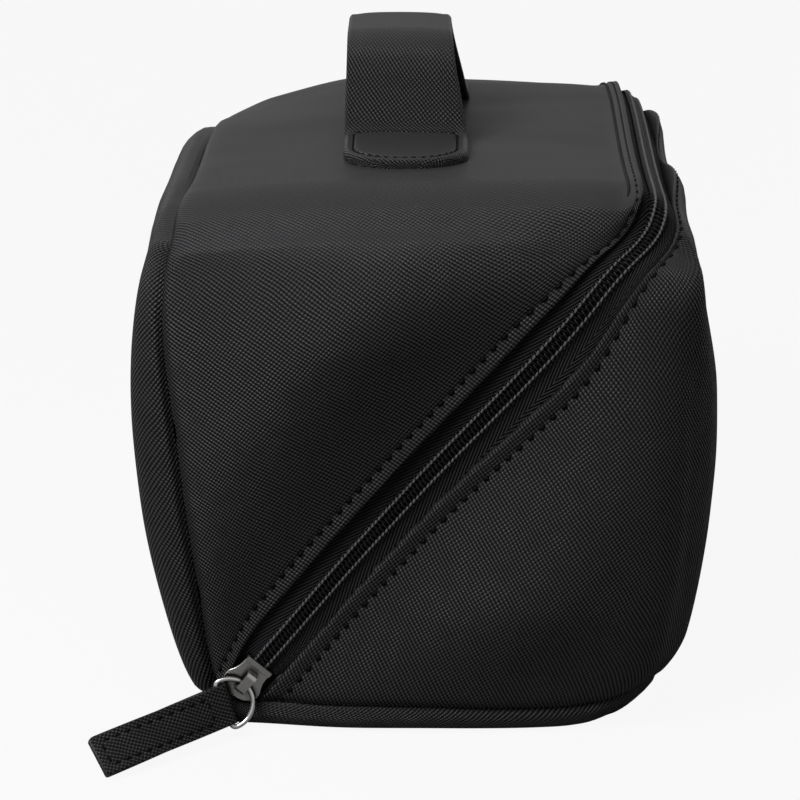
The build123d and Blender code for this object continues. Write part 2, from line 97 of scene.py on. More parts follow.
def add_node(tree: bpy.types.NodeTree, kind: str, inputs: dict | None = None, **settings) -> bpy.types.Node:
    """Adds a shader node with its settings and links.

    Args:
        tree: Node tree that takes the node.
        kind: Blender's name of the node's type.
        inputs: Value or output socket for each named or numbered input.
        settings: Properties of the node itself.

    Returns:
        The new node.
    """
    node = tree.nodes.new(kind)
    for name, value in settings.items():
        setattr(node, name, value)
    set_inputs(tree, node, inputs or {})
    return node


def set_inputs(tree: bpy.types.NodeTree, node: bpy.types.Node, inputs: dict) -> None:
    """Gives a node's named or numbered inputs their values and links."""
    for name, value in inputs.items():
        if isinstance(value, bpy.types.NodeSocket):
            tree.links.new(value, node.inputs[name])
        else:
            node.inputs[name].default_value = value


def new_material(name: str) -> tuple[bpy.types.Material, bpy.types.NodeTree, bpy.types.Node]:
    """Makes an empty material with a principled surface.

    Args:
        name: Name of the material.

    Returns:
        The material, its node tree and its principled shader.
    """
    material = bpy.data.materials.new(name)
    material.use_nodes = True
    tree = material.node_tree
    tree.nodes.clear()
    shader = add_node(tree, "ShaderNodeBsdfPrincipled")
    add_node(tree, "ShaderNodeOutputMaterial", {"Surface": shader.outputs["BSDF"]})
    return material, tree, shader


def smoothstep(value: Array, low: float, high: float) -> Array:
    """Eases from 0 at low to 1 at high."""
    share = np.clip((value - low) / (high - low), 0, 1)
    return share * share * (3 - 2 * share)


def drift(points: Array, wavelength: float, seed: float) -> Array:
    """Smooth noise of about -1 to 1 over points in space.

    Args:
        points: One point a row.
        wavelength: Distance between neighbouring swells.
        seed: Offset that sets one pattern apart from another.

    Returns:
        One value for each point.
    """
    shift = Vector((seed, seed * 1.7, seed * 0.3))
    return np.array([noise.noise(Vector(point) / wavelength + shift) for point in points.tolist()])


def arc_through(first: Sequence[float], middle: Sequence[float], last: Sequence[float],
                count: int = 240) -> Array:
    """Points along the circular arc through three points of a plane.

    Args:
        first: Where the arc starts.
        middle: A point that it passes.
        last: Where it ends.
        count: Number of points.

    Returns:
        One point a row.
    """
    a, b, c = (np.array(point, float) for point in (first, middle, last))
    rows = 2 * np.array([b - a, c - a])
    centre = np.linalg.solve(rows, [b @ b - a @ a, c @ c - a @ a])
    angles = np.unwrap([math.atan2(*(point - centre)[::-1]) for point in (a, b, c)])
    radius = np.linalg.norm(a - centre)
    sweep = np.linspace(angles[0], angles[2], count)
    return centre + radius * np.stack([np.cos(sweep), np.sin(sweep)], 1)


def along_line(line: Array, distances: Array) -> Array:
    """Points at given distances along a polyline."""
    reach = reach_along(line)
    return np.stack([np.interp(distances, reach, line[:, axis]) for axis in range(line.shape[1])], 1)


def line_length(line: Array) -> float:
    """Length of a polyline."""
    return float(np.linalg.norm(np.diff(line, axis=0), axis=1).sum())


def round_corner(before: Array, after: Array, radius: float) -> tuple[Array, Array, Array]:
    """Rounds the corner where two polylines meet.

    Args:
        before: Line that ends at the corner.
        after: Line that starts there.
        radius: Radius of the rounding.

    Returns:
        The first line shortened, the rounding, and the second line shortened.
    """
    turn = math.acos(np.clip(unit(before[-1] - before[-2]) @ unit(after[1] - after[0]), -1, 1))
    cut = radius * math.tan(turn / 2)
    before = along_line(before, np.linspace(0, line_length(before) - cut, len(before)))
    after = along_line(after, np.linspace(cut, line_length(after), len(after)))
    enter, leave = unit(before[-1] - before[-2]), unit(after[1] - after[0])
    turn = math.acos(np.clip(enter @ leave, -1, 1))
    handle = 4 / 3 * math.tan(turn / 4) * radius
    t = np.linspace(0, 1, 26)[1:-1, None]
    ends = (before[-1], before[-1] + enter * handle, after[0] - leave * handle, after[0])
    curve = (1 - t) ** 3 * ends[0] + 3 * t * (1 - t) ** 2 * ends[1] + 3 * t * t * (1 - t) * ends[2] + t ** 3 * ends[3]
    return before, curve, after


def unit(vectors: Array) -> Array:
    """Vectors at length 1, a single one or one a row."""
    return vectors / np.linalg.norm(vectors, axis=-1, keepdims=True)


def grid_faces(rows: int, columns: int) -> list[tuple[int, ...]]:
    """Faces between the points of a grid, which are numbered row by row."""
    return [(i * columns + j, (i + 1) * columns + j, (i + 1) * columns + j + 1, i * columns + j + 1)
            for i in range(rows - 1) for j in range(columns - 1)]


def reach_along(line: Array) -> Array:
    """Distance of each point of a polyline from its start."""
    return np.concatenate([[0], np.cumsum(np.linalg.norm(np.diff(line, axis=0), axis=1))])


@dataclass
class Sheet:
    """A surface under construction, with what each point needs for its later offset and pattern."""

    points: Array
    normals: Array
    faces: list[tuple[int, ...]]
    pattern: Array | None = None

    def closed_faces(self) -> list[tuple[int, ...]]:
        """Faces of this sheet, of its other side, whose points follow its own, and of the border between them."""
        count = len(self.points)
        directed = {(face[i], face[(i + 1) % len(face)]) for face in self.faces for i in range(len(face))}
        border = [(a, b) for a, b in directed if (b, a) not in directed]
        return (list(self.faces) + [tuple(count + i for i in reversed(face)) for face in self.faces]
                + [(b, a, a + count, b + count) for a, b in border])

    def thick(self, outer: Array, inner: Array) -> "Sheet":
        """Closes the sheet into a solid between two offsets of its points.

        Args:
            outer: Offset of the outer side along the normals, in metres.
            inner: Offset of the inner side.

        Returns:
            A closed surface with the same pattern coordinates on both sides.
        """
        front = self.points + self.normals * outer[:, None]
        back = self.points + self.normals * inner[:, None]
        pattern = None if self.pattern is None else np.concatenate([self.pattern, self.pattern])
        return Sheet(np.concatenate([front, back]), np.concatenate([self.normals, -self.normals]),
                     self.closed_faces(), pattern)

    def build(self, name: str, standing: bool = True) -> bpy.types.Object:
        """Makes the Blender object of the sheet, smooth shaded, with its pattern coordinates.

        Args:
            name: Name of the piece.
            standing: Whether it takes part in the soft case's standing shape.

        Returns:
            The object.
        """
        mesh = bpy.data.meshes.new(name)
        points = form.standing(self.points) if standing else self.points
        mesh.from_pydata(points.tolist(), [], self.faces)
        mesh.polygons.foreach_set("use_smooth", [True] * len(mesh.polygons))
        if self.pattern is not None:
            corners = np.zeros(len(mesh.loops), int)
            mesh.loops.foreach_get("vertex_index", corners)
            layer = mesh.uv_layers.new(name="pattern")
            layer.data.foreach_set("uv", self.pattern[corners].astype(np.float32).ravel())
        mesh.validate()
        mesh.update()
        made = bpy.data.objects.new(name, mesh)
        bpy.context.collection.objects.link(made)
        return made


def joined(sheets: Iterable[Sheet]) -> Sheet:
    """Several sheets as one, with their faces renumbered."""
    points, normals, faces, start = [], [], [], 0
    for sheet in sheets:
        points.append(sheet.points)
        normals.append(sheet.normals)
        faces += [tuple(start + i for i in face) for face in sheet.faces]
        start += len(sheet.points)
    return Sheet(np.concatenate(points), np.concatenate(normals), faces)


def smooth_normals(points: Array, faces: Array) -> Array:
    """Area-weighted normals of a mesh of quads."""
    corner = points[faces]
    across = np.cross(corner[:, 2] - corner[:, 0], corner[:, 3] - corner[:, 1])
    total = np.zeros_like(points)
    for place in range(4):
        np.add.at(total, faces[:, place], across)
    return unit(total)


class Cutter:
    """Cuts a sheet along level lines of fields, so that its borders and folds follow its seams."""

    snap: float = 0.22

    def __init__(self, sheet: Sheet) -> None:
        """Takes over a sheet's faces and the form's direction at each of their points."""
        self.mesh = bmesh.new()
        self.normal = self.mesh.verts.layers.float_vector.new("form_normal")
        used = sorted({i for face in sheet.faces for i in face})
        made = {}
        for i in used:
            vert = self.mesh.verts.new(sheet.points[i])
            vert[self.normal] = Vector(sheet.normals[i])
            made[i] = vert
        for face in sheet.faces:
            self.mesh.faces.new([made[i] for i in face])

    def cloud(self) -> tuple[Array, Array]:
        """Places of the points and the form's direction at each."""
        self.mesh.verts.index_update()
        points = np.array([vert.co[:] for vert in self.mesh.verts])
        return points, np.array([vert[self.normal][:] for vert in self.mesh.verts])

    def contour(self, rule: Field, level: float) -> None:
        """Adds edges along one level line of a field.

        Args:
            rule: The field, in metres.
            level: Its value on the line.
        """
        value = (rule(*self.cloud()) - level).tolist()
        marked = set()
        for edge in list(self.mesh.edges):
            a, b = edge.verts
            first, second = value[a.index], value[b.index]
            if first * second >= 0:
                continue
            share = first / (first - second)
            near = a if share < self.snap else b if share > 1 - self.snap else None
            if near is not None:
                place, normal = a.co.lerp(b.co, share), a[self.normal].lerp(b[self.normal], share)
                near.co, near[self.normal] = place, normal
                value[near.index] = 0
                marked.add(near)
        for edge in list(self.mesh.edges):
            a, b = edge.verts
            first, second = value[a.index], value[b.index]
            if first * second >= 0:
                continue
            share = first / (first - second)
            place, normal = a.co.lerp(b.co, share), a[self.normal].lerp(b[self.normal], share)
            new = bmesh.utils.edge_split(edge, a, share)[1]
            new.co, new[self.normal] = place, normal
            new.index = len(value)
            value.append(0)
            marked.add(new)
        for face in {face for vert in marked for face in vert.link_faces}:
            self.split_face(face, value)

    @staticmethod
    def split_face(face: bmesh.types.BMFace, value: list[float]) -> None:
        """Splits a face between two points of a level line that have its two sides between them."""
        verts = list(face.verts)
        zero = [place for place, vert in enumerate(verts) if value[vert.index] == 0]
        for i in zero:
            for j in zero:
                if j <= i + 1:
                    continue
                between = [value[vert.index] for vert in verts[i + 1:j]]
                rest = [value[vert.index] for vert in verts[j + 1:] + verts[:i]]
                if between and rest and sum(between) * sum(rest) < 0:
                    bmesh.utils.face_split(face, verts[i], verts[j])
                    return

    def drop_below(self, rule: Field, level: float) -> None:
        """Cuts along a level line and removes the faces below it."""
        self.contour(rule, level)
        value = rule(*self.cloud())
        out = [face for face in self.mesh.faces
               if sum(value[vert.index] for vert in face.verts) / len(face.verts) < level]
        bmesh.ops.delete(self.mesh, geom=out, context="FACES")

    def sheet(self) -> Sheet:
        """What is left, as a sheet."""
        points, normals = self.cloud()
        faces = [tuple(vert.index for vert in face.verts) for face in self.mesh.faces]
        self.mesh.free()
        return Sheet(points, unit(normals), faces)


@dataclass(frozen=True)
class CaseForm:
    """Outer form of the shut case: an outline in XZ drawn along Y, with rounded ends and a flat for the zip."""

    length: float = 0.226
    foot_width: float = 0.144
    waist_width: float = 0.168
    top_width: float = 0.152
    waist_height: float = 0.088
    corner_height: float = 0.154
    crown_height: float = 0.1586
    foot_radius: float = 0.010
    shoulder_radius: float = 0.013
    flat_radius: float = 0.011
    end_radius: float = 0.0085
    zip_slope: float = math.radians(49)
    zip_foot: float = -0.0656
    zip_reach: float = 0.1986
    zip_bend: float = 0.020
    floor_seam: float = 0.009
    spacing: float = 0.0019
    puff: float = 0.012
    push: float = 0.008
    lean: float = 0.9
    bow: float = 0.0012
    slip: float = 0.007
    near_corner: float = 0.028
    far_corner: float = 0.020
    side_corner: float = 0.022
    foot_lift: float = 0.0035
    foot_swell: float = 0.005

    @property
    def along(self) -> Array:
        """Direction in which the zip climbs the end face."""
        return np.array([math.cos(self.zip_slope), 0, math.sin(self.zip_slope)])

    @property
    def across(self) -> Array:
        """Direction across the zip, towards the lid."""
        return np.array([-math.sin(self.zip_slope), 0, math.cos(self.zip_slope)])

    def zip_run(self, points: Array) -> Array:
        """Distance of points along the zip's slope, from its foot."""
        return (points - [self.zip_foot, 0, 0]) @ self.along

    def zip_offset(self, points: Array) -> Array:
        """Distance of points from the zip's middle plane, positive on the lid's side."""
        return (points - [self.zip_foot, 0, 0]) @ self.across

    def on_skin(self, points: Array, normals: Array) -> Array:
        """Distance from the zip's middle line, measured along the skin."""
        tilt = np.sqrt(np.clip(1 - (normals @ self.across) ** 2, 0.3, 1))
        return self.zip_offset(points) / tilt

    def half_width(self, heights: Array) -> Array:
        """Half the width of the case at each height, before its corners are rounded."""
        side = arc_through((self.foot_width / 2, 0), (self.waist_width / 2, self.waist_height),
                           (self.top_width / 2, self.corner_height))
        return np.interp(heights, side[:, 1], side[:, 0])

    def crown(self, places: Array) -> Array:
        """Height of the top at each X."""
        top = arc_through((-self.top_width / 2, self.corner_height), (0, self.crown_height),
                          (self.top_width / 2, self.corner_height))
        return np.interp(places, top[:, 0], top[:, 1])

    def from_side_seam(self, points: Array, normals: Array) -> Array:
        """Distance from the side panel's seam, which bows in over the end, positive towards the top panel."""
        inset = 2.5 + 10 * np.exp(-np.abs((points[:, 2] - 0.070) / 0.060) ** 2.5)
        inset += 3 * (1 - smoothstep(np.abs(points[:, 1]), 0.06, 0.105)) * smoothstep(points[:, 2], 0.12, 0.15)
        return points[:, 0] + self.half_width(points[:, 2]) - inset * MM

    def from_floor_seam(self, points: Array, normals: Array) -> Array:
        """Height over the floor seam."""
        return points[:, 2] - self.floor_seam

    def outline(self) -> tuple[Array, list[float]]:
        """Closed outline of the section with rounded corners.

        Returns:
            The outline, anticlockwise from the left of the foot, and the distances along it of its four
            quarters: the two foot corners, the zip's flat and the shoulder.
        """
        foot, top = self.foot_width / 2, self.top_width / 2
        bottom = np.linspace((-foot, 0), (foot, 0), 160)
        right = arc_through((foot, 0), (self.waist_width / 2, self.waist_height), (top, self.corner_height))
        over = arc_through((top, self.corner_height), (0, self.crown_height), (-top, self.corner_height))
        left = right[::-1] * (-1, 1)
        reach = [(line - (self.zip_foot, 0)) @ self.along[[0, 2]] for line in (right, over)]
        right = right[reach[0] < self.zip_reach]
        over = over[reach[1] < self.zip_reach]
        flat = np.linspace(right[-1], over[0], 40)
        right, first, flat = round_corner(right, flat, self.flat_radius)
        flat, second, over = round_corner(flat, over, self.flat_radius)
        over, shoulder, left = round_corner(over, left, self.shoulder_radius)
        left, left_foot, bottom = round_corner(left, bottom, self.foot_radius)
        bottom, right_foot, right = round_corner(bottom, right, self.foot_radius)
        parts = [bottom, right_foot, right, first, flat, second, over, shoulder, left, left_foot]
        whole = np.concatenate(parts)
        whole = np.concatenate([whole, whole[:1]])
        lengths = [line_length(np.concatenate(parts[:count] + [parts[count][:1]])) for count in range(1, 10)]
        quarters = [lengths[8] + line_length(left_foot) / 2, lengths[0] + line_length(right_foot) / 2,
                    lengths[3] + line_length(flat) / 2, lengths[6] + line_length(shoulder) / 2]
        return whole, quarters

    def ring(self) -> tuple[Array, Array, int, int]:
        """The outline's grid points.

        Returns:
            Points and outward directions in XZ from the left foot corner on, and the number of steps across
            and up.
        """
        whole, quarters = self.outline()
        total = line_length(whole)
        wide = round(self.foot_width / self.spacing)
        high = round(self.corner_height / self.spacing)
        stops = [quarters[0] - total, *quarters[1:], quarters[0]]
        counts = (wide, high, wide, high)
        runs = np.concatenate([np.linspace(stops[i], stops[i + 1], counts[i], endpoint=False) for i in range(4)])
        step = self.spacing / 2
        points = along_line(whole, runs % total)
        ahead, behind = along_line(whole, (runs + step) % total), along_line(whole, (runs - step) % total)
        heading = unit(ahead - behind)
        return points, np.stack([heading[:, 1], -heading[:, 0]], 1), wide, high

    def closed(self) -> Sheet:
        """The whole outer surface as one grid of quads."""
        points, outward, wide, high = self.ring()
        count = len(points)
        straight = self.length / 2 - self.end_radius
        steps = round(self.end_radius * math.pi / 2 / self.spacing * 1.4)
        turns = np.linspace(math.pi / 2, 0, steps, endpoint=False)
        runs = np.linspace(-straight, straight, round(2 * straight / self.spacing) + 1)
        rings = [(self.end_radius * (1 - math.cos(turn)), -straight - self.end_radius * math.sin(turn))
                 for turn in turns]
        rings += [(0.0, run) for run in runs]
        rings += [(inset, -place) for inset, place in reversed(rings[:steps])]
        solid = []
        for inset, place in rings:
            inner = points - outward * inset
            solid.append(np.stack([inner[:, 0], np.full(count, place), inner[:, 1]], 1))
        faces = [(row * count + i, row * count + (i + 1) % count,
                  (row + 1) * count + (i + 1) % count, (row + 1) * count + i)
                 for row in range(len(rings) - 1) for i in range(count)]
        start = len(rings) * count
        for row, flip in ((0, False), (len(rings) - 1, True)):
            cap, cap_faces = self.cap(solid[row], row * count, start, wide, high)
            solid.append(cap)
            faces += [face[::-1] if flip else face for face in cap_faces]
            start += len(cap)
        cloud = self.rounded_at_bend(np.concatenate(solid))
        faces = np.array([face[::-1] for face in faces])
        normals = smooth_normals(cloud, faces)
        if (normals[:, 2] * (cloud[:, 2] - self.waist_height)).sum() < 0:
            faces, normals = faces[:, ::-1], -normals
        return Sheet(cloud, normals, [tuple(face) for face in faces.tolist()])

    @staticmethod
    def cap(rim: Array, rim_start: int, start: int, wide: int, high: int) -> tuple[Array, list[tuple[int, ...]]]:
        """Fills the end face inside its rim.

        Args:
            rim: Points of the rim.
            rim_start: Number of the rim's first point.
            start: Number of the first new point.
            wide: Steps across.
            high: Steps up.

        Returns:
            The new points and the faces, which use the rim's points too.
        """
        bottom, right = rim[:wide + 1], rim[wide:wide + high + 1]
        top = rim[wide + high:2 * wide + high + 1][::-1]
        left = np.concatenate([rim[2 * wide + high:], rim[:1]])[::-1]
        a = np.linspace(0, 1, wide + 1)[1:-1, None, None]
        b = np.linspace(0, 1, high + 1)[None, 1:-1, None]
        ruled = (1 - b) * bottom[1:-1, None] + b * top[1:-1, None]
        ruled = ruled + (1 - a) * left[None, 1:-1] + a * right[None, 1:-1]
        corners = (1 - b) * ((1 - a) * bottom[0] + a * bottom[-1]) + b * ((1 - a) * top[0] + a * top[-1])
        inside = (ruled - corners).reshape(-1, 3)

        def number(i: int, j: int) -> int:
            """Number of the point in column i and row j."""
            if j == 0:
                return rim_start + i
            if i == wide:
                return rim_start + wide + j
            if j == high:
                return rim_start + 2 * wide + high - i
            if i == 0:
                return rim_start + (2 * wide + 2 * high - j)
            return start + (i - 1) * (high - 1) + j - 1

        faces = [(number(i, j), number(i, j + 1), number(i + 1, j + 1), number(i + 1, j))
                 for i in range(wide) for j in range(high)]
        return inside, faces

    def rounded_at_bend(self, points: Array) -> Array:
        """Draws in the two corners round which the zip turns, to the zip's own bend."""
        run = self.zip_run(points) - (self.zip_reach - self.zip_bend)
        side = np.abs(points[:, 1]) - (self.length / 2 - self.zip_bend)
        reach = np.hypot(run, side)
        out = (run > 0) & (side > 0) & (reach > self.zip_bend)
        share = np.where(out, self.zip_bend / np.maximum(reach, 1e-9), 1)
        moved = points + np.outer((share - 1) * run, self.along)
        moved[:, 1] += np.sign(points[:, 1]) * (share - 1) * side
        return np.where(out[:, None], moved, points)

    @staticmethod
    def rounded(u: Array, v: Array, radius: Array | float, was: float) -> tuple[Array, Array]:
        """Shifts that open the corner of two faces to a larger radius, the same for each layer of the wall.

        Args:
            u: Distance past the larger radius's centre, towards one face.
            v: The same towards the other face.
            radius: The larger radius.
            was: The radius to which the corner is sewn.

        Returns:
            The shift of each point along the two directions.
        """
        u, v = np.maximum(u, 0), np.maximum(v, 0)
        reach = np.maximum(np.hypot(u, v), 1e-9)
        a, b = u / reach, v / reach
        gap = radius - was
        flat = radius / np.maximum(np.maximum(a, b), 0.5)
        middle = (a + b) * gap
        turned = middle + np.sqrt(np.maximum(middle ** 2 - 2 * gap ** 2 + was ** 2, 0))
        surface = np.where(flat * np.minimum(a, b) <= gap, flat, turned)
        shift = (surface - radius) * np.clip(reach / surface, 0, 1) ** 2
        return -a * shift, -b * shift

    def standing(self, points: Array) -> Array:
        """Where points of the sewn form lie once the soft case stands: rounder, puffed, tucked in and sunk."""
        made = points.copy()
        self.swell(made)
        self.open_corners(made)
        self.sink(made)
        return made

    def swell(self, made: Array) -> None:
        """Puffs out the ends beside the zip, and pushes, bows and slips the strip that the zip runs in."""
        run, offset = self.zip_run(made), self.zip_offset(made)
        beside, end = np.abs(offset), np.sign(made[:, 1])
        puff = self.puff * smoothstep(beside, 0.010, 0.055) * np.clip(1 - (made[:, 0] / 0.080) ** 2, 0, 1)
        puff *= (1 - smoothstep(made[:, 2], 0.115, 0.158)) * smoothstep(made[:, 2], 0.004, 0.045)
        push = self.push * smoothstep(run, 0.145, 0.190) * (1 - smoothstep(beside, 0.022, 0.050))
        lean = self.lean * np.sign(offset) * smoothstep(beside, 0.004, 0.020)
        bow = self.bow * smoothstep(run, 0.025, 0.08) * (1 - smoothstep(run, 0.10, 0.15))
        bow *= 1 - smoothstep(beside, 0.03, 0.06)
        slip = self.slip * smoothstep(made[:, 1], -0.11, 0.09) * smoothstep(run, 0.13, 0.165)
        slip *= (1 - smoothstep(offset, 0.02, 0.08)) * smoothstep(offset, -0.040, -0.004)
        made += push[:, None] * self.along + (bow - push * lean)[:, None] * self.across
        made += slip[:, None] * [1, 0, -0.25]
        made[:, 1] += end * puff * smoothstep(np.abs(made[:, 1]), 0.06, 0.113)

    def open_corners(self, made: Array) -> None:
        """Opens the corners of the ends with the top and with both sides to larger radii."""
        half, end = self.length / 2, np.sign(made[:, 1])
        radius = np.where(end < 0, self.near_corner, self.far_corner)
        inward, down = self.rounded(np.abs(made[:, 1]) - half + radius, made[:, 2] - self.crown(made[:, 0]) + radius,
                                    radius, self.end_radius)
        made[:, 1] += end * inward
        made[:, 2] += down
        radius = self.side_corner
        inward, left = self.rounded(np.abs(made[:, 1]) - half + radius,
                                    made[:, 0] - self.half_width(made[:, 2]) + radius, radius, self.end_radius)
        low = 1 - smoothstep(made[:, 2], 0.10, 0.14)
        made[:, 1] += end * inward * low
        made[:, 0] += left * low

    def sink(self, made: Array) -> None:
        """Tucks the sides in towards the floor, lets the top sink to the back and presses out the ends' feet."""
        height, end = made[:, 2].copy(), np.sign(made[:, 1])
        tuck = (1.4 + 8.3 * np.clip(1 - height / 0.127, 0, 1) ** 1.6) * smoothstep(-made[:, 0], 0.045, 0.072)
        corner = 7 * np.clip(1 - height / 0.024, 0, 1) ** 1.6 * smoothstep(np.abs(made[:, 1]), 0.03, 0.10)
        corner += 3 * smoothstep(height, 0.10, 0.135) - 0.6
        made[:, 0] += MM * (tuck - corner * smoothstep(made[:, 0], 0.035, 0.066))
        made[:, 2] += (self.foot_lift * smoothstep(made[:, 0], 0.040, 0.072) * smoothstep(-made[:, 1], 0.06, 0.11)
                       * (1 - smoothstep(height, 0.005, 0.03)))
        back = 5 * smoothstep(made[:, 1], 0.066, 0.113)
        back += 2 * smoothstep(made[:, 0], 0.02, 0.06) * smoothstep(made[:, 1], 0.05, 0.113)
        back += 9 * smoothstep(-made[:, 0], 0.01, 0.075) * smoothstep(made[:, 1], -0.02, 0.10)
        back += 5 * smoothstep(-made[:, 0], 0.050, 0.072) * smoothstep(made[:, 1], 0.02, 0.10)
        made[:, 2] -= MM * back * smoothstep(height, 0.09, 0.15)
        foot = np.exp(-((made[:, 0] - 0.005) / 0.046) ** 4) * np.clip(1 - height / 0.035, 0, 1) ** 1.5
        made[:, 1] += self.foot_swell * end * foot * smoothstep(np.abs(made[:, 1]), 0.06, 0.113)

    def wrapped(self, points: Array, inset: Array) -> Array:
        """Distance along the skin from the middle of the case's length, round the edge and over the end.

        Args:
            points: Points of the outer form.
            inset: Their distance inside the long edge that the skin turns over.

        Returns:
            The distance, negative towards the slider's end.
        """
        straight = self.length / 2 - self.end_radius
        past = np.clip(np.abs(points[:, 1]) - straight, 0, self.end_radius)
        turn = np.arctan2(past, np.maximum(self.end_radius - inset, 0))
        over = np.where(past > 0, self.end_radius * turn + np.maximum(inset - self.end_radius, 0), 0)
        return np.sign(points[:, 1]) * (np.minimum(np.abs(points[:, 1]), straight) + over)


form = CaseForm()


@dataclass(frozen=True)
class Track:
    """The zip's route: up the near end, round the bend, back along the upper edge and down the far end."""

    depth: float = 0.002

    @property
    def climb(self) -> float:
        """Length of the straight run on each end face."""
        return form.zip_reach - form.zip_bend

    def length(self) -> float:
        """Length of the whole route."""
        return 2 * self.climb + math.pi * (form.zip_bend - self.depth) + form.length - 2 * form.zip_bend

    def place(self, distance: float, offset: float, lift: float) -> Vector:
        """A point beside the route.

        Args:
            distance: Distance along the route from its near foot.
            offset: Distance across the zip, positive towards the lid.
            lift: Height over the tape's outer face.

        Returns:
            The point, in the frame.
        """
        turn_radius = form.zip_bend - self.depth
        quarter = math.pi / 2 * turn_radius
        back = form.length - 2 * form.zip_bend
        half = form.length / 2
        if distance < self.climb:
            run, side, angle = distance, self.depth - half, 0.0
        elif distance < self.climb + quarter:
            angle = (distance - self.climb) / turn_radius
            run = self.climb + turn_radius * math.sin(angle)
            side = form.zip_bend - half - turn_radius * math.cos(angle)
        elif distance < self.climb + quarter + back:
            angle = math.pi / 2
            run, side = form.zip_reach - self.depth, form.zip_bend - half + distance - self.climb - quarter
        elif distance < self.climb + 2 * quarter + back:
            rest = (distance - self.climb - quarter - back) / turn_radius
            angle = math.pi / 2 + rest
            run = self.climb + turn_radius * math.cos(rest)
            side = half - form.zip_bend + turn_radius * math.sin(rest)
        else:
            angle = math.pi
            run, side = 2 * self.climb + 2 * quarter + back - distance, half - self.depth
        outward = form.along * math.sin(angle) + np.array([0, -math.cos(angle), 0])
        spot = np.array([form.zip_foot, side, 0]) + form.along * run + form.across * offset + outward * lift
        return Vector(spot)


track = Track()


def tube(route: Array, radius: float, sides: int = 6) -> Sheet:
    """A round tube along a polyline, closed at both ends.

    Args:
        route: Points of the middle line.
        radius: Radius of the tube.
        sides: Number of sides.

    Returns:
        The tube's surface.
    """
    count = len(route)
    heading = unit(np.gradient(route, axis=0))
    guide = np.array([0.0, 1.0, 0.0]) if abs(heading[0][1]) < 0.9 else np.array([1.0, 0.0, 0.0])
    sides_at = []
    for direction in heading:
        guide = unit(guide - direction * (guide @ direction))
        sides_at.append(guide)
    u = np.array(sides_at)
    v = np.cross(heading, u)
    angles = np.linspace(0, 2 * math.pi, sides, endpoint=False)
    normals = np.cos(angles)[None, :, None] * u[:, None] + np.sin(angles)[None, :, None] * v[:, None]
    points = route[:, None] + normals * radius
    faces = [(row * sides + i, row * sides + (i + 1) % sides,
              (row + 1) * sides + (i + 1) % sides, (row + 1) * sides + i)
             for row in range(count - 1) for i in range(sides)]
    faces += [tuple(range(sides))[::-1], tuple(range((count - 1) * sides, count * sides))]
    return Sheet(points.reshape(-1, 3), normals.reshape(-1, 3), faces)


def thread_stitches(route: Array, facing: Array, pitch: float, radius: float, share: float = 0.72,
                    sink: float = 0.0) -> Sheet:
    """A row of single stitches that dive into the material at both ends.

    Args:
        route: Points of the stitch line on the surface.
        facing: Outward direction at each of those points.
        pitch: Distance from hole to hole.
        radius: Radius of the thread.
        share: Part of the pitch that shows.
        sink: How far the middle of each stitch lies below the surface.

    Returns:
        The threads of the row.
    """
    total = line_length(route)
    count = max(1, int(total / pitch))
    reach = reach_along(route)
    made = []
    for stitch in range(count):
        spots = (stitch + 0.5 + np.linspace(-share / 2, share / 2, 7)) * total / count
        middle = along_line(route, spots)
        up = np.stack([np.interp(spots, reach, facing[:, axis]) for axis in range(3)], 1)
        dip = np.array([1.6, 0.5, 0.1, 0, 0.1, 0.5, 1.6]) * radius + sink
        made.append(tube(middle - up * dip[:, None], radius, 6))
    return joined(made)


class Finish:
    """Base of the finishes: each makes its material once."""

    made: dict[str, bpy.types.Material] = {}
    title: str = ""

    def material(self) -> bpy.types.Material:
        """The finish's material, made on first use."""
        if self.title not in Finish.made:
            Finish.made[self.title] = self.make()
        return Finish.made[self.title]

    def make(self) -> bpy.types.Material:
        """Builds the material."""
        raise NotImplementedError

    def put_on(self, piece: bpy.types.Object) -> None:
        """Gives the piece this finish alone."""
        piece.data.materials.clear()
        piece.data.materials.append(self.material())


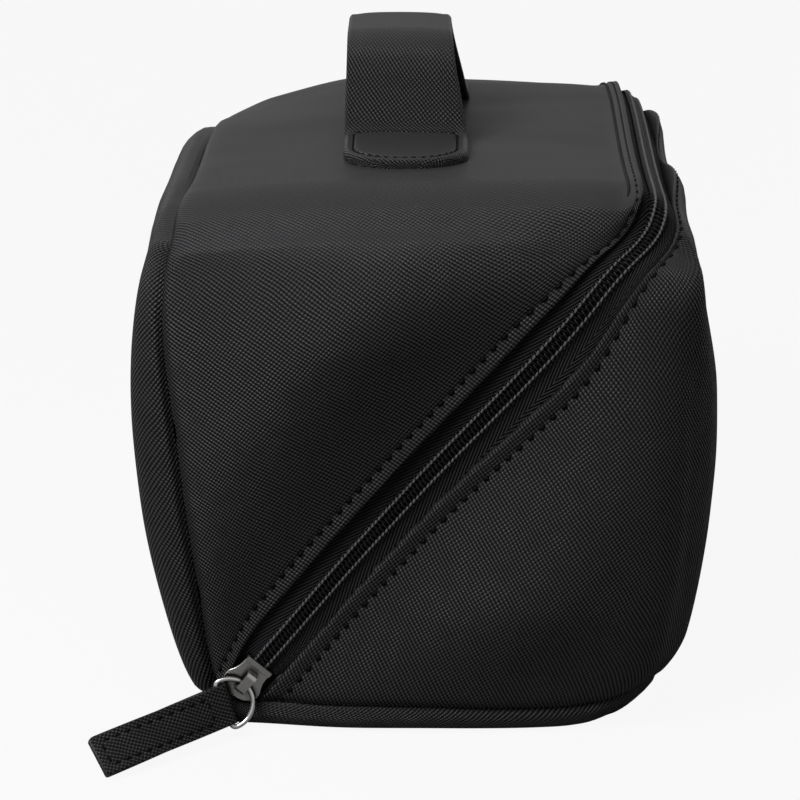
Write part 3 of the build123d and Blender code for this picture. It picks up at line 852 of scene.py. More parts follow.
@dataclass(frozen=True)
class EmbossedSheet(Finish):
    """Black polyurethane-coated cloth, plate-embossed with two crossed families of fine ridges.

    To the eye it is a semi-matt black whose ridges catch a grey light, with dark pits between them; this light and
    shade is painted into the colour, lighter on the ridges and darker in the pits. On faces that look up the emboss
    is made fainter and less glossy, and their colour is a lighter flat grey, a painted highlight on the top. The
    ridges are drawn coarser than the cloth's own, so that they show at the render's size.
    """

    title: str = "polyurethane_sheet_embossed"
    first_angle: float = math.radians(-34)
    second_angle: float = math.radians(50)
    ridge_spacing: float = 1.0 * MM
    ridge_height: float = 0.20 * MM
    wander: float = 0.9 * MM
    wander_scale: float = 90.0
    patch_scale: float = 160.0
    grain_scale: float = 2600.0
    # The pits' colour is darker and the ridges' lighter, as painted shade and painted highlight; the top's flat
    # colour is a painted highlight.
    colour: str = "#101011"
    ridge_highlight_colour: str = "#262627"
    top_highlight_colour: str = "#282829"
    roughness: float = 0.44
    gloss: float = 0.01
    ridge_gloss: float = 0.20

    def make(self) -> bpy.types.Material:
        """Builds the embossed sheet from two warped families of ridges."""
        material, tree, shader = new_material(self.title)
        place = add_node(tree, "ShaderNodeUVMap", uv_map="pattern").outputs["UV"]
        wander = add_node(tree, "ShaderNodeTexNoise", {"Vector": place, "Scale": self.wander_scale, "Detail": 1.0})
        push = add_node(tree, "ShaderNodeVectorMath", {0: wander.outputs["Color"], 1: (0.5, 0.5, 0.5)},
                        operation="SUBTRACT")
        push = add_node(tree, "ShaderNodeVectorMath", {0: push.outputs[0], "Scale": self.wander}, operation="SCALE")
        warped = add_node(tree, "ShaderNodeVectorMath", {0: place, 1: push.outputs[0]}, operation="ADD").outputs[0]
        ridges = []
        for angle in (self.first_angle, self.second_angle):
            beat = 2 * math.pi / self.ridge_spacing
            row = add_node(tree, "ShaderNodeVectorMath",
                           {0: warped, 1: (-math.sin(angle) * beat, math.cos(angle) * beat, 0)},
                           operation="DOT_PRODUCT")
            wave = add_node(tree, "ShaderNodeMath", {0: row.outputs["Value"]}, operation="SINE")
            ridges.append(wave.outputs[0])
        patches = add_node(tree, "ShaderNodeTexNoise", {"Vector": place, "Scale": self.patch_scale, "Detail": 2.0})
        weight = add_node(tree, "ShaderNodeMapRange",
                          {"Value": patches.outputs["Fac"], "From Min": 0.35, "From Max": 0.65,
                           "To Min": 0.24, "To Max": 0.44}).outputs["Result"]
        crossed = add_node(tree, "ShaderNodeMix", {0: weight, 2: ridges[0], 3: ridges[1]}).outputs[0]
        fine = add_node(tree, "ShaderNodeTexNoise", {"Vector": place, "Scale": self.grain_scale, "Detail": 2.0})
        height = add_node(tree, "ShaderNodeMath", {0: fine.outputs["Fac"], 1: 0.3, 2: crossed},
                          operation="MULTIPLY_ADD").outputs[0]
        # Faces that look up get a fainter emboss, less gloss and a lighter flat colour; that colour is a painted
        # highlight on the top.
        facing = add_node(tree, "ShaderNodeTexCoord").outputs["Normal"]
        up = add_node(tree, "ShaderNodeSeparateXYZ", {0: facing}).outputs["Z"]
        away_from_top = add_node(tree, "ShaderNodeMapRange",
                           {"Value": up, "From Min": 0.60, "From Max": 1.0, "To Min": 1.0, "To Max": 0.10},
                           interpolation_type="SMOOTHSTEP").outputs["Result"]
        shade = add_node(tree, "ShaderNodeMapRange",
                         {"Value": crossed, "From Min": -0.55, "From Max": 0.75}).outputs["Result"]
        # Painted shade in the pits and painted highlight on the ridges.
        ridged = add_node(tree, "ShaderNodeMix", {0: shade, 6: linear(self.colour), 7: linear(self.ridge_highlight_colour)},
                          data_type="RGBA").outputs[2]
        # Painted highlight: up-facing faces take the lighter flat colour.
        colour = add_node(tree, "ShaderNodeMix", {0: away_from_top, 6: linear(self.top_highlight_colour), 7: ridged},
                          data_type="RGBA").outputs[2]
        gloss = add_node(tree, "ShaderNodeMapRange", {"Value": shade, "To Min": self.gloss,
                                                      "To Max": self.ridge_gloss}).outputs["Result"]
        gloss = add_node(tree, "ShaderNodeMath", {0: gloss, 1: away_from_top}, operation="MULTIPLY").outputs[0]
        worn = add_node(tree, "ShaderNodeMapRange", {"Value": shade, "To Min": self.roughness + 0.1,
                                                     "To Max": self.roughness - 0.05}).outputs["Result"]
        bump = add_node(tree, "ShaderNodeBump", {"Height": height, "Distance": self.ridge_height,
                                                 "Strength": away_from_top})
        set_inputs(tree, shader, {"Base Color": colour, "Roughness": worn, "Specular IOR Level": gloss,
                                  "Normal": bump.outputs["Normal"]})
        return material


@dataclass(frozen=True)
class WovenTape(Finish):
    """Black polyester zip tape, woven in a fine herringbone: dull, with a faint slanting rib.

    The ribs are drawn coarser than a real tape's, so that they show at the render's size. Their crests are coloured
    lighter than the tape, a painted highlight.
    """

    title: str = "polyester_tape_woven"
    rib: float = 2.2 * MM
    band: float = 7.5 * MM
    slant: float = 2.4
    rib_height: float = 0.16 * MM
    colour: str = "#080809"
    rib_highlight_colour: str = "#29292b"

    def make(self) -> bpy.types.Material:
        """Builds the tape from slanted ribs that turn back at the middle of each band."""
        material, tree, shader = new_material(self.title)
        place = add_node(tree, "ShaderNodeUVMap", uv_map="pattern").outputs["UV"]
        split = add_node(tree, "ShaderNodeSeparateXYZ", {0: place})
        band = add_node(tree, "ShaderNodeMath", {0: split.outputs["Y"], 1: self.band}, operation="PINGPONG")
        slant = add_node(tree, "ShaderNodeMath", {0: band.outputs[0], 1: self.slant, 2: split.outputs["X"]},
                         operation="MULTIPLY_ADD")
        beat = add_node(tree, "ShaderNodeMath", {0: slant.outputs[0], 1: 2 * math.pi / self.rib},
                        operation="MULTIPLY")
        wave = add_node(tree, "ShaderNodeMath", {0: beat.outputs[0]}, operation="SINE").outputs[0]
        shade = add_node(tree, "ShaderNodeMapRange", {"Value": wave, "From Min": -1.0}).outputs["Result"]
        # Painted highlight: the ribs' crests take the lighter colour.
        colour = add_node(tree, "ShaderNodeMix", {0: shade, 6: linear(self.colour), 7: linear(self.rib_highlight_colour)},
                          data_type="RGBA").outputs[2]
        bump = add_node(tree, "ShaderNodeBump", {"Height": wave, "Distance": self.rib_height, "Strength": 1.0})
        set_inputs(tree, shader, {"Base Color": colour, "Normal": bump.outputs["Normal"], "Roughness": 0.85,
                                  "Specular IOR Level": 0.05})
        return material


@dataclass(frozen=True)
class Thread(Finish):
    """Twisted polyester sewing thread, with a soft grey gleam on black."""

    title: str = "polyester_thread_twisted"
    colour: str = "#2a2a2c"
    twist: float = 0.5 * MM
    roughness: float = 0.6
    gloss: float = 0.1

    def make(self) -> bpy.types.Material:
        """Builds the thread with a fine twist across it."""
        material, tree, shader = new_material(self.title)
        place = add_node(tree, "ShaderNodeTexCoord").outputs["Object"]
        strands = add_node(tree, "ShaderNodeTexNoise", {"Vector": place, "Scale": 1 / self.twist, "Detail": 2.0})
        bump = add_node(tree, "ShaderNodeBump", {"Height": strands.outputs["Fac"], "Distance": 0.08 * MM,
                                                 "Strength": 0.7})
        colour = add_node(tree, "ShaderNodeMix", {0: strands.outputs["Fac"], 6: scaled(self.colour, 0.6),
                                                  7: scaled(self.colour, 1.5)}, data_type="RGBA").outputs[2]
        set_inputs(tree, shader, {"Base Color": colour, "Normal": bump.outputs["Normal"],
                                  "Roughness": self.roughness, "Specular IOR Level": self.gloss})
        return material


@dataclass(frozen=True)
class DrawnNylon(Finish):
    """Black nylon monofilament, drawn and heat-set into a coil: smooth, with small sharp glints."""

    title: str = "nylon_monofilament_drawn"
    colour: str = "#050506"
    roughness: float = 0.5
    gloss: float = 0.12

    def make(self) -> bpy.types.Material:
        """Builds the nylon with faint scuffs in its gloss."""
        material, tree, shader = new_material(self.title)
        place = add_node(tree, "ShaderNodeTexCoord").outputs["Object"]
        scuffs = add_node(tree, "ShaderNodeTexNoise", {"Vector": place, "Scale": 900.0, "Detail": 2.0})
        rough = add_node(tree, "ShaderNodeMapRange", {"Value": scuffs.outputs["Fac"], "To Min": self.roughness - 0.08,
                                                      "To Max": self.roughness + 0.14}).outputs["Result"]
        set_inputs(tree, shader, {"Base Color": linear(self.colour), "Roughness": rough,
                                  "Specular IOR Level": self.gloss})
        return material


@dataclass(frozen=True)
class LiningCloth(Finish):
    """Plain-woven black polyester lining, with a low satin gleam over its small square weave."""

    title: str = "polyester_lining_woven"
    yarn: float = 0.7 * MM
    colour: str = "#161618"
    yarn_colour: str = "#28282b"

    def make(self) -> bpy.types.Material:
        """Builds the lining from two crossed families of yarns, drawn coarser than real so that they show."""
        material, tree, shader = new_material(self.title)
        place = add_node(tree, "ShaderNodeTexCoord").outputs["Object"]
        weave = add_node(tree, "ShaderNodeTexWave", {"Vector": place, "Scale": 1 / self.yarn / math.pi,
                                                     "Distortion": 0.4}, bands_direction="DIAGONAL")
        fine = add_node(tree, "ShaderNodeTexNoise", {"Vector": place, "Scale": 1 / self.yarn, "Detail": 2.0})
        height = add_node(tree, "ShaderNodeMath", {0: weave.outputs["Fac"], 1: fine.outputs["Fac"]},
                          operation="MULTIPLY").outputs[0]
        colour = add_node(tree, "ShaderNodeMix", {0: height, 6: linear(self.colour), 7: linear(self.yarn_colour)},
                          data_type="RGBA").outputs[2]
        bump = add_node(tree, "ShaderNodeBump", {"Height": height, "Distance": 0.1 * MM, "Strength": 0.8})
        set_inputs(tree, shader, {"Base Color": colour, "Normal": bump.outputs["Normal"], "Roughness": 0.62,
                                  "Sheen Weight": 0.2})
        return material


@dataclass(frozen=True)
class NickelPlate(Finish):
    """Nickel plate over cast zinc or drawn wire: a warm-grey mirror, a little softened by handling."""

    title: str = "nickel_plate_cast"
    colour: str = "#8b8a88"
    roughness: float = 0.24

    def make(self) -> bpy.types.Material:
        """Builds the plate with a fine pitted casting grain and handling marks, and with painted shade that darkens
        its crevices.
        """
        material, tree, shader = new_material(self.title)
        place = add_node(tree, "ShaderNodeTexCoord").outputs["Object"]
        marks = add_node(tree, "ShaderNodeTexNoise", {"Vector": place, "Scale": 420.0, "Detail": 4.0})
        rough = add_node(tree, "ShaderNodeMapRange", {"Value": marks.outputs["Fac"], "To Min": self.roughness - 0.08,
                                                      "To Max": self.roughness + 0.1}).outputs["Result"]
        bump = add_node(tree, "ShaderNodeBump", {"Height": marks.outputs["Fac"], "Distance": 0.03 * MM,
                                                 "Strength": 0.6})
        # Painted shade: ambient occlusion darkens the colour in the crevices and recesses, down to an eighth of the
        # plate's colour.
        hollow = add_node(tree, "ShaderNodeAmbientOcclusion", {"Distance": 2.5 * MM})
        crevice_shade = add_node(tree, "ShaderNodeMapRange", {"Value": hollow.outputs["AO"], "From Min": 0.35,
                                                      "From Max": 0.9}).outputs["Result"]
        colour = add_node(tree, "ShaderNodeMix", {0: crevice_shade, 6: scaled(self.colour, 0.12), 7: linear(self.colour)},
                          data_type="RGBA").outputs[2]
        set_inputs(tree, shader, {"Base Color": colour, "Metallic": 1.0, "Roughness": rough,
                                  "Normal": bump.outputs["Normal"]})
        return material


@dataclass(frozen=True)
class PressedBoard(Finish):
    """Grey-black fibre board, die-cut: dull, with short fibres in its face."""

    title: str = "fibre_board_pressed"
    colour: str = "#2a2928"

    def make(self) -> bpy.types.Material:
        """Builds the board with fibres in its colour and bump."""
        material, tree, shader = new_material(self.title)
        place = add_node(tree, "ShaderNodeTexCoord").outputs["Object"]
        fibres = add_node(tree, "ShaderNodeTexNoise", {"Vector": place, "Scale": 700.0, "Detail": 5.0})
        colour = add_node(tree, "ShaderNodeMix", {0: fibres.outputs["Fac"], 6: scaled(self.colour, 0.6),
                                                  7: linear(self.colour)}, data_type="RGBA").outputs[2]
        bump = add_node(tree, "ShaderNodeBump", {"Height": fibres.outputs["Fac"], "Distance": 0.1 * MM})
        set_inputs(tree, shader, {"Base Color": colour, "Normal": bump.outputs["Normal"], "Roughness": 0.85})
        return material


@dataclass
class Shell:
    """Skins of the case, cut from the closed form along their seams, with turned hems and creased seams."""

    opening: float = 0.008
    base_opening: float = 0.007
    widening: float = 0.003
    hem: float = 0.0046
    hem_thickness: float = 0.0019
    fold: float = 0.0011
    groove: float = 0.00015
    padding: float = 0.0012
    seam_depth: float = 0.0026
    seam_width: float = 0.0015
    draw: float = 0.0009
    drawn: float = 0.0045
    notch: float = 0.0132
    stitch_pitch: float = 0.0043
    thread: float = 0.00068
    stitch_share: float = 0.30
    lobes_at: tuple[tuple[float, float], ...] = ((-0.043, 0.024), (0.047, 0.026), (0.108, 0.012))
    lobe_height: float = 0.0042
    lobe_reach: float = 0.020
    hem_rise: float = 0.00045
    lid_bulge: tuple[float, ...] = (-0.022, 0.098, 0.048, 0.0024)
    base_bulge: tuple[float, ...] = (0.034, 0.048, 0.044, 0.0022)
    closed: Sheet = field(default_factory=form.closed)

    def lid_hem(self, points: Array, normals: Array) -> Array:
        """Distance from the lid's folded edge, along the skin."""
        return form.on_skin(points, normals) - self.opening

    def base_hem(self, points: Array, normals: Array) -> Array:
        """Distance from the base's folded edge, along the skin. The gap widens towards the upper corner."""
        widening = self.widening * smoothstep(form.zip_run(points), 0.09, 0.17)
        return -form.on_skin(points, normals) - self.base_opening - widening

    def side_notch(self, points: Array, normals: Array) -> Array:
        """Positive outside the notch that the zip takes out of the side panel's foot, at both ends."""
        inside = form.length / 2 - self.notch - np.abs(points[:, 1])
        return np.maximum(self.lid_hem(points, normals), inside)

    def part(self, keeps: Sequence[tuple[Field, float]], folds: Sequence[tuple[Field, float]]) -> Sheet:
        """Cuts one panel out of the closed form.

        Args:
            keeps: Fields and levels above which the panel lies.
            folds: Fields and levels along which the panel gets extra edges.

        Returns:
            The panel's sheet on the outer form.
        """
        points, normals = self.closed.points, self.closed.normals
        margin = 3 * form.spacing
        near = np.ones(len(points), bool)
        for rule, level in keeps:
            near &= rule(points, normals) > level - margin
        faces = [face for face in self.closed.faces if near[face[0]] and near[face[2]]]
        cutter = Cutter(Sheet(points, normals, faces))
        for rule, level in keeps:
            cutter.drop_below(rule, level)
        for rule, level in folds:
            cutter.contour(rule, level)
        return cutter.sheet()

    def hem_profile(self, distance: Array) -> Array:
        """Height of the skin over the form, from its folded edge inward: fold, band, stitched groove, padding."""
        fold = -self.fold * (1 - np.sqrt(1 - (1 - np.clip(distance / self.fold, 0, 1)) ** 2))
        tilt = self.hem_rise * (1 - smoothstep(distance, 0.0012, self.hem))
        groove = -self.groove * np.exp(-((distance - self.hem) / (0.55 * MM)) ** 2)
        padding = self.padding * (1 - np.exp(-np.clip(distance - self.hem, 0, 1) / (7 * MM)))
        return fold + tilt + groove + padding

    def seam_profile(self, distance: Array) -> Array:
        """Height of the skin beside a seam whose edges are turned inside."""
        gap = np.abs(distance)
        return -self.seam_depth * np.exp(-(gap / self.seam_width) ** 2) - self.draw * np.exp(-(gap / self.drawn) ** 2)

    def softness(self, points: Array) -> Array:
        """Slow swells of the padded skin."""
        return 0.7 * MM * drift(points, 0.055, 3.1) + 0.25 * MM * drift(points, 0.021, 8.4)

    def end_bulge(self, points: Array, normals: Array, bulge: tuple[float, ...]) -> Array:
        """Swelling of an end panel, given by its middle in X and Z, its reach and its height."""
        x, z, reach, height = bulge
        gap = np.hypot(points[:, 0] - x, points[:, 2] - z)
        return height * np.exp(-(gap / reach) ** 2) * np.clip(np.abs(normals[:, 1]), 0, 1) ** 2

    def levels(self) -> list[float]:
        """Distances from a folded edge at which the hem bends."""
        fold = [share * self.fold for share in (0.12, 0.35, 0.7, 1.1)]
        groove = [self.hem + offset * MM for offset in (-1.0, -0.5, 0, 0.5, 1.0, 2.0)]
        return fold + groove

    def seam_levels(self) -> list[float]:
        """Distances from an inside seam at which the skin bends."""
        return [level * MM for level in (0.5, 1.1, 1.8, 2.8, 4.2)]

    def piece(self, name: str, sheet: Sheet, relief: Array, body: Body, *nodes: str) -> bpy.types.Object:
        """Closes a panel, dresses it and hands it to the frame.

        Args:
            name: Name of the piece.
            sheet: The panel on the outer form.
            relief: Height of its outer side over the form.
            body: Body that it rides on.
            nodes: Nodes that it stands for.

        Returns:
            The finished piece.
        """
        skin = sheet.thick(relief, np.minimum(relief, 0) - self.hem_thickness).build(name)
        EmbossedSheet().put_on(skin)
        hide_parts(*nodes)
        settle(skin, body)
        log.info("%s: %d faces", name, len(skin.data.polygons))
        return skin

    def top_panel(self) -> bpy.types.Object:
        """Top of the lid and the upper half of both ends, with its hem along the zip."""
        folds = [(self.lid_hem, level) for level in self.levels()]
        folds += [(form.from_side_seam, level) for level in self.seam_levels()]
        sheet = self.part([(self.lid_hem, 0), (form.from_side_seam, 0.1 * MM), (form.from_floor_seam, 0)], folds)
        points, normals = sheet.points, sheet.normals
        hem = self.lid_hem(points, normals)
        relief = self.hem_profile(hem) + self.seam_profile(form.from_side_seam(points, normals))
        relief += self.softness(points) * smoothstep(hem, self.hem, 0.02)
        relief += self.end_bulge(points, normals, self.lid_bulge)
        sheet.pattern = np.stack([points[:, 0], form.wrapped(points, form.crown(points[:, 0]) - points[:, 2])], 1)
        self.stitches("lid_topstitch", sheet, hem, relief, Body.LID)
        return self.piece("lid_top_skin", sheet, relief, Body.LID, "lid_top_panel", "lid_top_foam")

    def side_panel(self) -> bpy.types.Object:
        """Left side of the lid, wrapped round both corners to its seams."""
        folds = [(self.away_from_side_seam, level) for level in self.seam_levels()]
        folds += [(form.from_floor_seam, level) for level in self.seam_levels()[:3]]
        sheet = self.part([(self.away_from_side_seam, 0.1 * MM), (form.from_floor_seam, 0.1 * MM),
                           (self.side_notch, 0)], folds)
        points, normals = sheet.points, sheet.normals
        hem = self.side_notch(points, normals)
        relief = self.hem_profile(hem) + self.seam_profile(form.from_side_seam(points, normals))
        relief += 0.6 * self.seam_profile(form.from_floor_seam(points, normals)) + self.softness(points)
        inset = points[:, 0] + form.half_width(points[:, 2])
        sheet.pattern = np.stack([points[:, 2], form.wrapped(points, inset)], 1)
        return self.piece("lid_side_skin", sheet, relief, Body.LID, "lid_side_panel", "lid_side_foam")

    @staticmethod
    def away_from_side_seam(points: Array, normals: Array) -> Array:
        """Distance from the side panel's seam, positive on the side panel."""
        return -form.from_side_seam(points, normals)

    @staticmethod
    def under_floor_seam(points: Array, normals: Array) -> Array:
        """Distance below the floor seam."""
        return -form.from_floor_seam(points, normals)

    def lobes(self, points: Array, hem: Array) -> Array:
        """Puckers of the base's hem where it runs back along the upper edge, with a dip between each two."""
        back = smoothstep(form.zip_run(points), 0.155, 0.180)
        swell = sum(np.exp(-((points[:, 1] - middle) / reach) ** 2) for middle, reach in self.lobes_at)
        return back * self.lobe_height * (swell - 0.45) * np.exp(-(hem / self.lobe_reach) ** 2)

    def wall_panel(self) -> bpy.types.Object:
        """Right side and the lower half of both ends of the base, with its hem along the zip."""
        folds = [(self.base_hem, level) for level in self.levels()]
        folds += [(form.from_floor_seam, level) for level in self.seam_levels()[:3]]
        sheet = self.part([(self.base_hem, 0), (form.from_floor_seam, 0.1 * MM)], folds)
        points, normals = sheet.points, sheet.normals
        hem = self.base_hem(points, normals)
        relief = self.hem_profile(hem) + 0.6 * self.seam_profile(form.from_floor_seam(points, normals))
        relief += self.softness(points) * smoothstep(hem, self.hem, 0.02) + self.lobes(points, hem)
        relief += self.end_bulge(points, normals, self.base_bulge)
        inset = form.half_width(points[:, 2]) - points[:, 0]
        sheet.pattern = np.stack([points[:, 2], form.wrapped(points, inset)], 1)
        self.stitches("base_topstitch", sheet, hem, relief, Body.BASE)
        return self.piece("base_wall_skin", sheet, relief, Body.BASE, "base_wall_panel", "base_wall_foam")

    def bottom_panel(self) -> bpy.types.Object:
        """Bottom of the case, turned up to the floor seam."""
        folds = [(self.under_floor_seam, level) for level in self.seam_levels()[:3]]
        sheet = self.part([(self.under_floor_seam, 0.1 * MM)], folds)
        points, normals = sheet.points, sheet.normals
        upright = np.clip(1 + normals[:, 2], 0, 1)
        relief = (0.6 * self.seam_profile(form.from_floor_seam(points, normals)) + 0.8 * MM) * upright
        sheet.pattern = points[:, :2] + np.tanh(points[:, :2] / 0.03) * points[:, 2:]
        return self.piece("base_bottom_skin", sheet, relief, Body.BASE, "base_bottom_panel")

    def stitches(self, name: str, sheet: Sheet, hem: Array, relief: Array, body: Body) -> bpy.types.Object:
        """Row of topstitching in the groove of a hem.

        Args:
            name: Name of the piece.
            sheet: The panel, with an edge along its stitch line.
            hem: Distance of each point from the folded edge.
            relief: Height of each point over the form.
            body: Body that the stitches ride on.

        Returns:
            The threads.
        """
        on_line = np.flatnonzero(np.abs(hem - self.hem) < 0.02 * MM)
        order = on_line[np.argsort(zip_distance(sheet.points[on_line]))]
        route = sheet.points[order] + sheet.normals[order] * relief[order, None]
        keep = np.concatenate([[True], np.linalg.norm(np.diff(route, axis=0), axis=1) > 0.3 * MM])
        made = thread_stitches(route[keep], sheet.normals[order][keep], self.stitch_pitch, self.thread,
                               share=self.stitch_share, sink=-0.45 * self.thread).build(name)
        Thread(title="polyester_thread_topstitch", colour="#050506", gloss=0.03).put_on(made)
        settle(made, body)
        log.info("%s: %d points on the stitch line", name, int(keep.sum()))
        return made


def settle(piece: bpy.types.Object, body: Body) -> None:
    """Attaches a piece of the base to its body; a piece of the lid only has its placement baked into its points."""
    if body is Body.LID:
        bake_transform(piece)
    else:
        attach(piece, body.value)


def zip_distance(points: Array) -> Array:
    """Distance of points along the zip's route, from its near foot."""
    run = form.zip_run(points)
    climb = form.zip_reach - form.zip_bend
    side = np.abs(points[:, 1]) - (form.length / 2 - form.zip_bend)
    angle = np.arctan2(np.maximum(run - climb, 0), np.maximum(side, 1e-9))
    near = np.minimum(run, climb) + form.zip_bend * angle + np.maximum(-side, 0)
    total = 2 * (climb + form.zip_bend * math.pi / 2 + form.length / 2 - form.zip_bend)
    return np.where(points[:, 1] > 0, total - near, near)


@dataclass
class Inside:
    """Linings and bindings, which follow the inner side of the padded walls and turn out to meet the tapes."""

    shell: Shell
    lining_depth: float = 0.0059
    lining: float = 0.0005
    rim_depth: float = 0.0029
    rim_reach: float = 0.0065
    binding_depth: float = 0.0068
    binding: float = 0.0008
    binding_half: float = 0.004
    edge: float = 0.002

    def lid_area(self, points: Array, normals: Array) -> Array:
        """Positive on the lid: beyond its hem, or on the side panel away from the notches."""
        inside = form.length / 2 - self.shell.notch - np.abs(points[:, 1])
        return np.maximum(self.shell.lid_hem(points, normals),
                          np.minimum(inside, -form.from_side_seam(points, normals)))

    def near_side_seam(self, points: Array, normals: Array) -> Array:
        """Positive on the strip that covers the side panel's seam."""
        return self.binding_half - np.abs(form.from_side_seam(points, normals))

    def near_floor(self, points: Array, normals: Array) -> Array:
        """Positive on the strip over the floor seam."""
        return self.binding_half - np.abs(form.from_floor_seam(points, normals) - self.binding_half - MM)

    def cloth(self, name: str, keeps: Sequence[tuple[Field, float]], rim: Field, body: Body,
              node: str) -> bpy.types.Object:
        """One lining cloth, slack between its seams.

        Args:
            name: Name of the piece.
            keeps: Fields and levels above which the cloth lies.
            rim: Distance from its edge at the zip.
            body: Body that it rides on.
            node: Node that it stands for.

        Returns:
            The lining.
        """
        folds = [(rim, level) for level in (1.5 * MM, 3 * MM, 4.5 * MM)]
        sheet = self.shell.part(keeps, folds)
        share = smoothstep(rim(sheet.points, sheet.normals), 0.5 * MM, self.rim_reach)
        depth = self.rim_depth + (self.lining_depth - self.rim_depth) * share
        depth = depth - 0.25 * MM * drift(sheet.points, 0.018, 5.2) * share
        made = sheet.thick(-depth, -depth - self.lining).build(name)
        LiningCloth().put_on(made)
        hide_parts(node)
        settle(made, body)
        log.info("%s: %d faces", name, len(made.data.polygons))
        return made

    def strip(self, name: str, keeps: Sequence[tuple[Field, float]], width: Field, body: Body,
              node: str) -> bpy.types.Object:
        """One binding tape over raw edges, crowned across its width.

        Args:
            name: Name of the piece.
            keeps: Fields and levels above which the tape lies.
            width: Distance from the tape's long edges.
            body: Body that it rides on.
            node: Node that it stands for.

        Returns:
            The binding.
        """
        sheet = self.shell.part(keeps, [(width, level) for level in (0.4 * MM, 1.0 * MM, 2.0 * MM)])
        share = np.sqrt(np.clip(width(sheet.points, sheet.normals) / self.binding_half, 0.02, 1))
        depth = np.full(len(sheet.points), self.binding_depth)
        sheet.pattern = sheet.points[:, 1:]
        made = sheet.thick(-depth, -depth - self.binding * share).build(name)
        # The binding's lighter rib colour is a painted highlight, as on the zip tape.
        WovenTape(title="polyester_binding_woven", colour="#101012", rib_highlight_colour="#232326").put_on(made)
        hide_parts(node)
        settle(made, body)
        log.info("%s: %d faces", name, len(made.data.polygons))
        return made

    def build(self) -> None:
        """Makes the linings and bindings of both halves."""
        shell = self.shell
        self.cloth("lid_inner_cloth", [(self.lid_area, 0), (form.from_floor_seam, 0)], self.lid_area, Body.LID,
                   "lid_lining")
        self.cloth("base_inner_cloth", [(shell.base_hem, 0), (form.from_floor_seam, 0)], shell.base_hem, Body.BASE,
                   "base_wall_lining")
        self.strip("lid_seam_tape", [(self.near_side_seam, 0), (shell.lid_hem, self.edge)], self.near_side_seam,
                   Body.LID, "lid_seam_binding")
        self.strip("hinge_tape", [(self.near_floor, 0), (shell.away_from_side_seam, self.binding_half),
                                  (shell.side_notch, self.edge)], self.near_floor, Body.LID, "hinge_binding")
        self.strip("floor_seam_tape", [(self.near_floor, 0), (shell.base_hem, self.edge)], self.near_floor,
                   Body.BASE, "base_seam_binding")


@dataclass(frozen=True)
class Patch:
    """A rounded rectangle of sheet, laid out flat before it is bent into place."""

    half_long: float
    half_wide: float
    radius: float
    spacing: float

    def inset(self, points: Array, normals: Array) -> Array:
        """Distance of flat points inside the patch's border."""
        far = np.abs(points[:, :2]) - [self.half_long - self.radius, self.half_wide - self.radius]
        outside = np.linalg.norm(np.maximum(far, 0), axis=1)
        return self.radius - outside - np.minimum(far.max(1), 0)

    def outward(self, points: Array) -> Array:
        """Direction from the middle of the patch over its nearest border, nothing far inside."""
        far = np.abs(points[:, :2]) - [self.half_long - self.radius, self.half_wide - self.radius]
        return np.sign(points[:, :2]) * np.clip(far / self.radius, 0, 1)

    def cut(self, folds: Sequence[tuple[Field, float]]) -> Sheet:
        """The patch as a flat sheet with extra edges along its folds."""
        long = round(self.half_long / self.spacing) + 1
        wide = round(self.half_wide / self.spacing) + 1
        u = np.arange(-long, long + 1) * self.spacing
        v = np.arange(-wide, wide + 1) * self.spacing
        grid = np.stack(np.meshgrid(u, v, indexing="ij"), -1).reshape(-1, 2)
        points = np.concatenate([grid, np.zeros((len(grid), 1))], 1)
        normals = np.tile([0.0, 0.0, 1.0], (len(points), 1))
        cutter = Cutter(Sheet(points, normals, grid_faces(len(u), len(v))))
        cutter.drop_below(self.inset, 0)
        for rule, level in folds:
            cutter.contour(rule, level)
        return cutter.sheet()


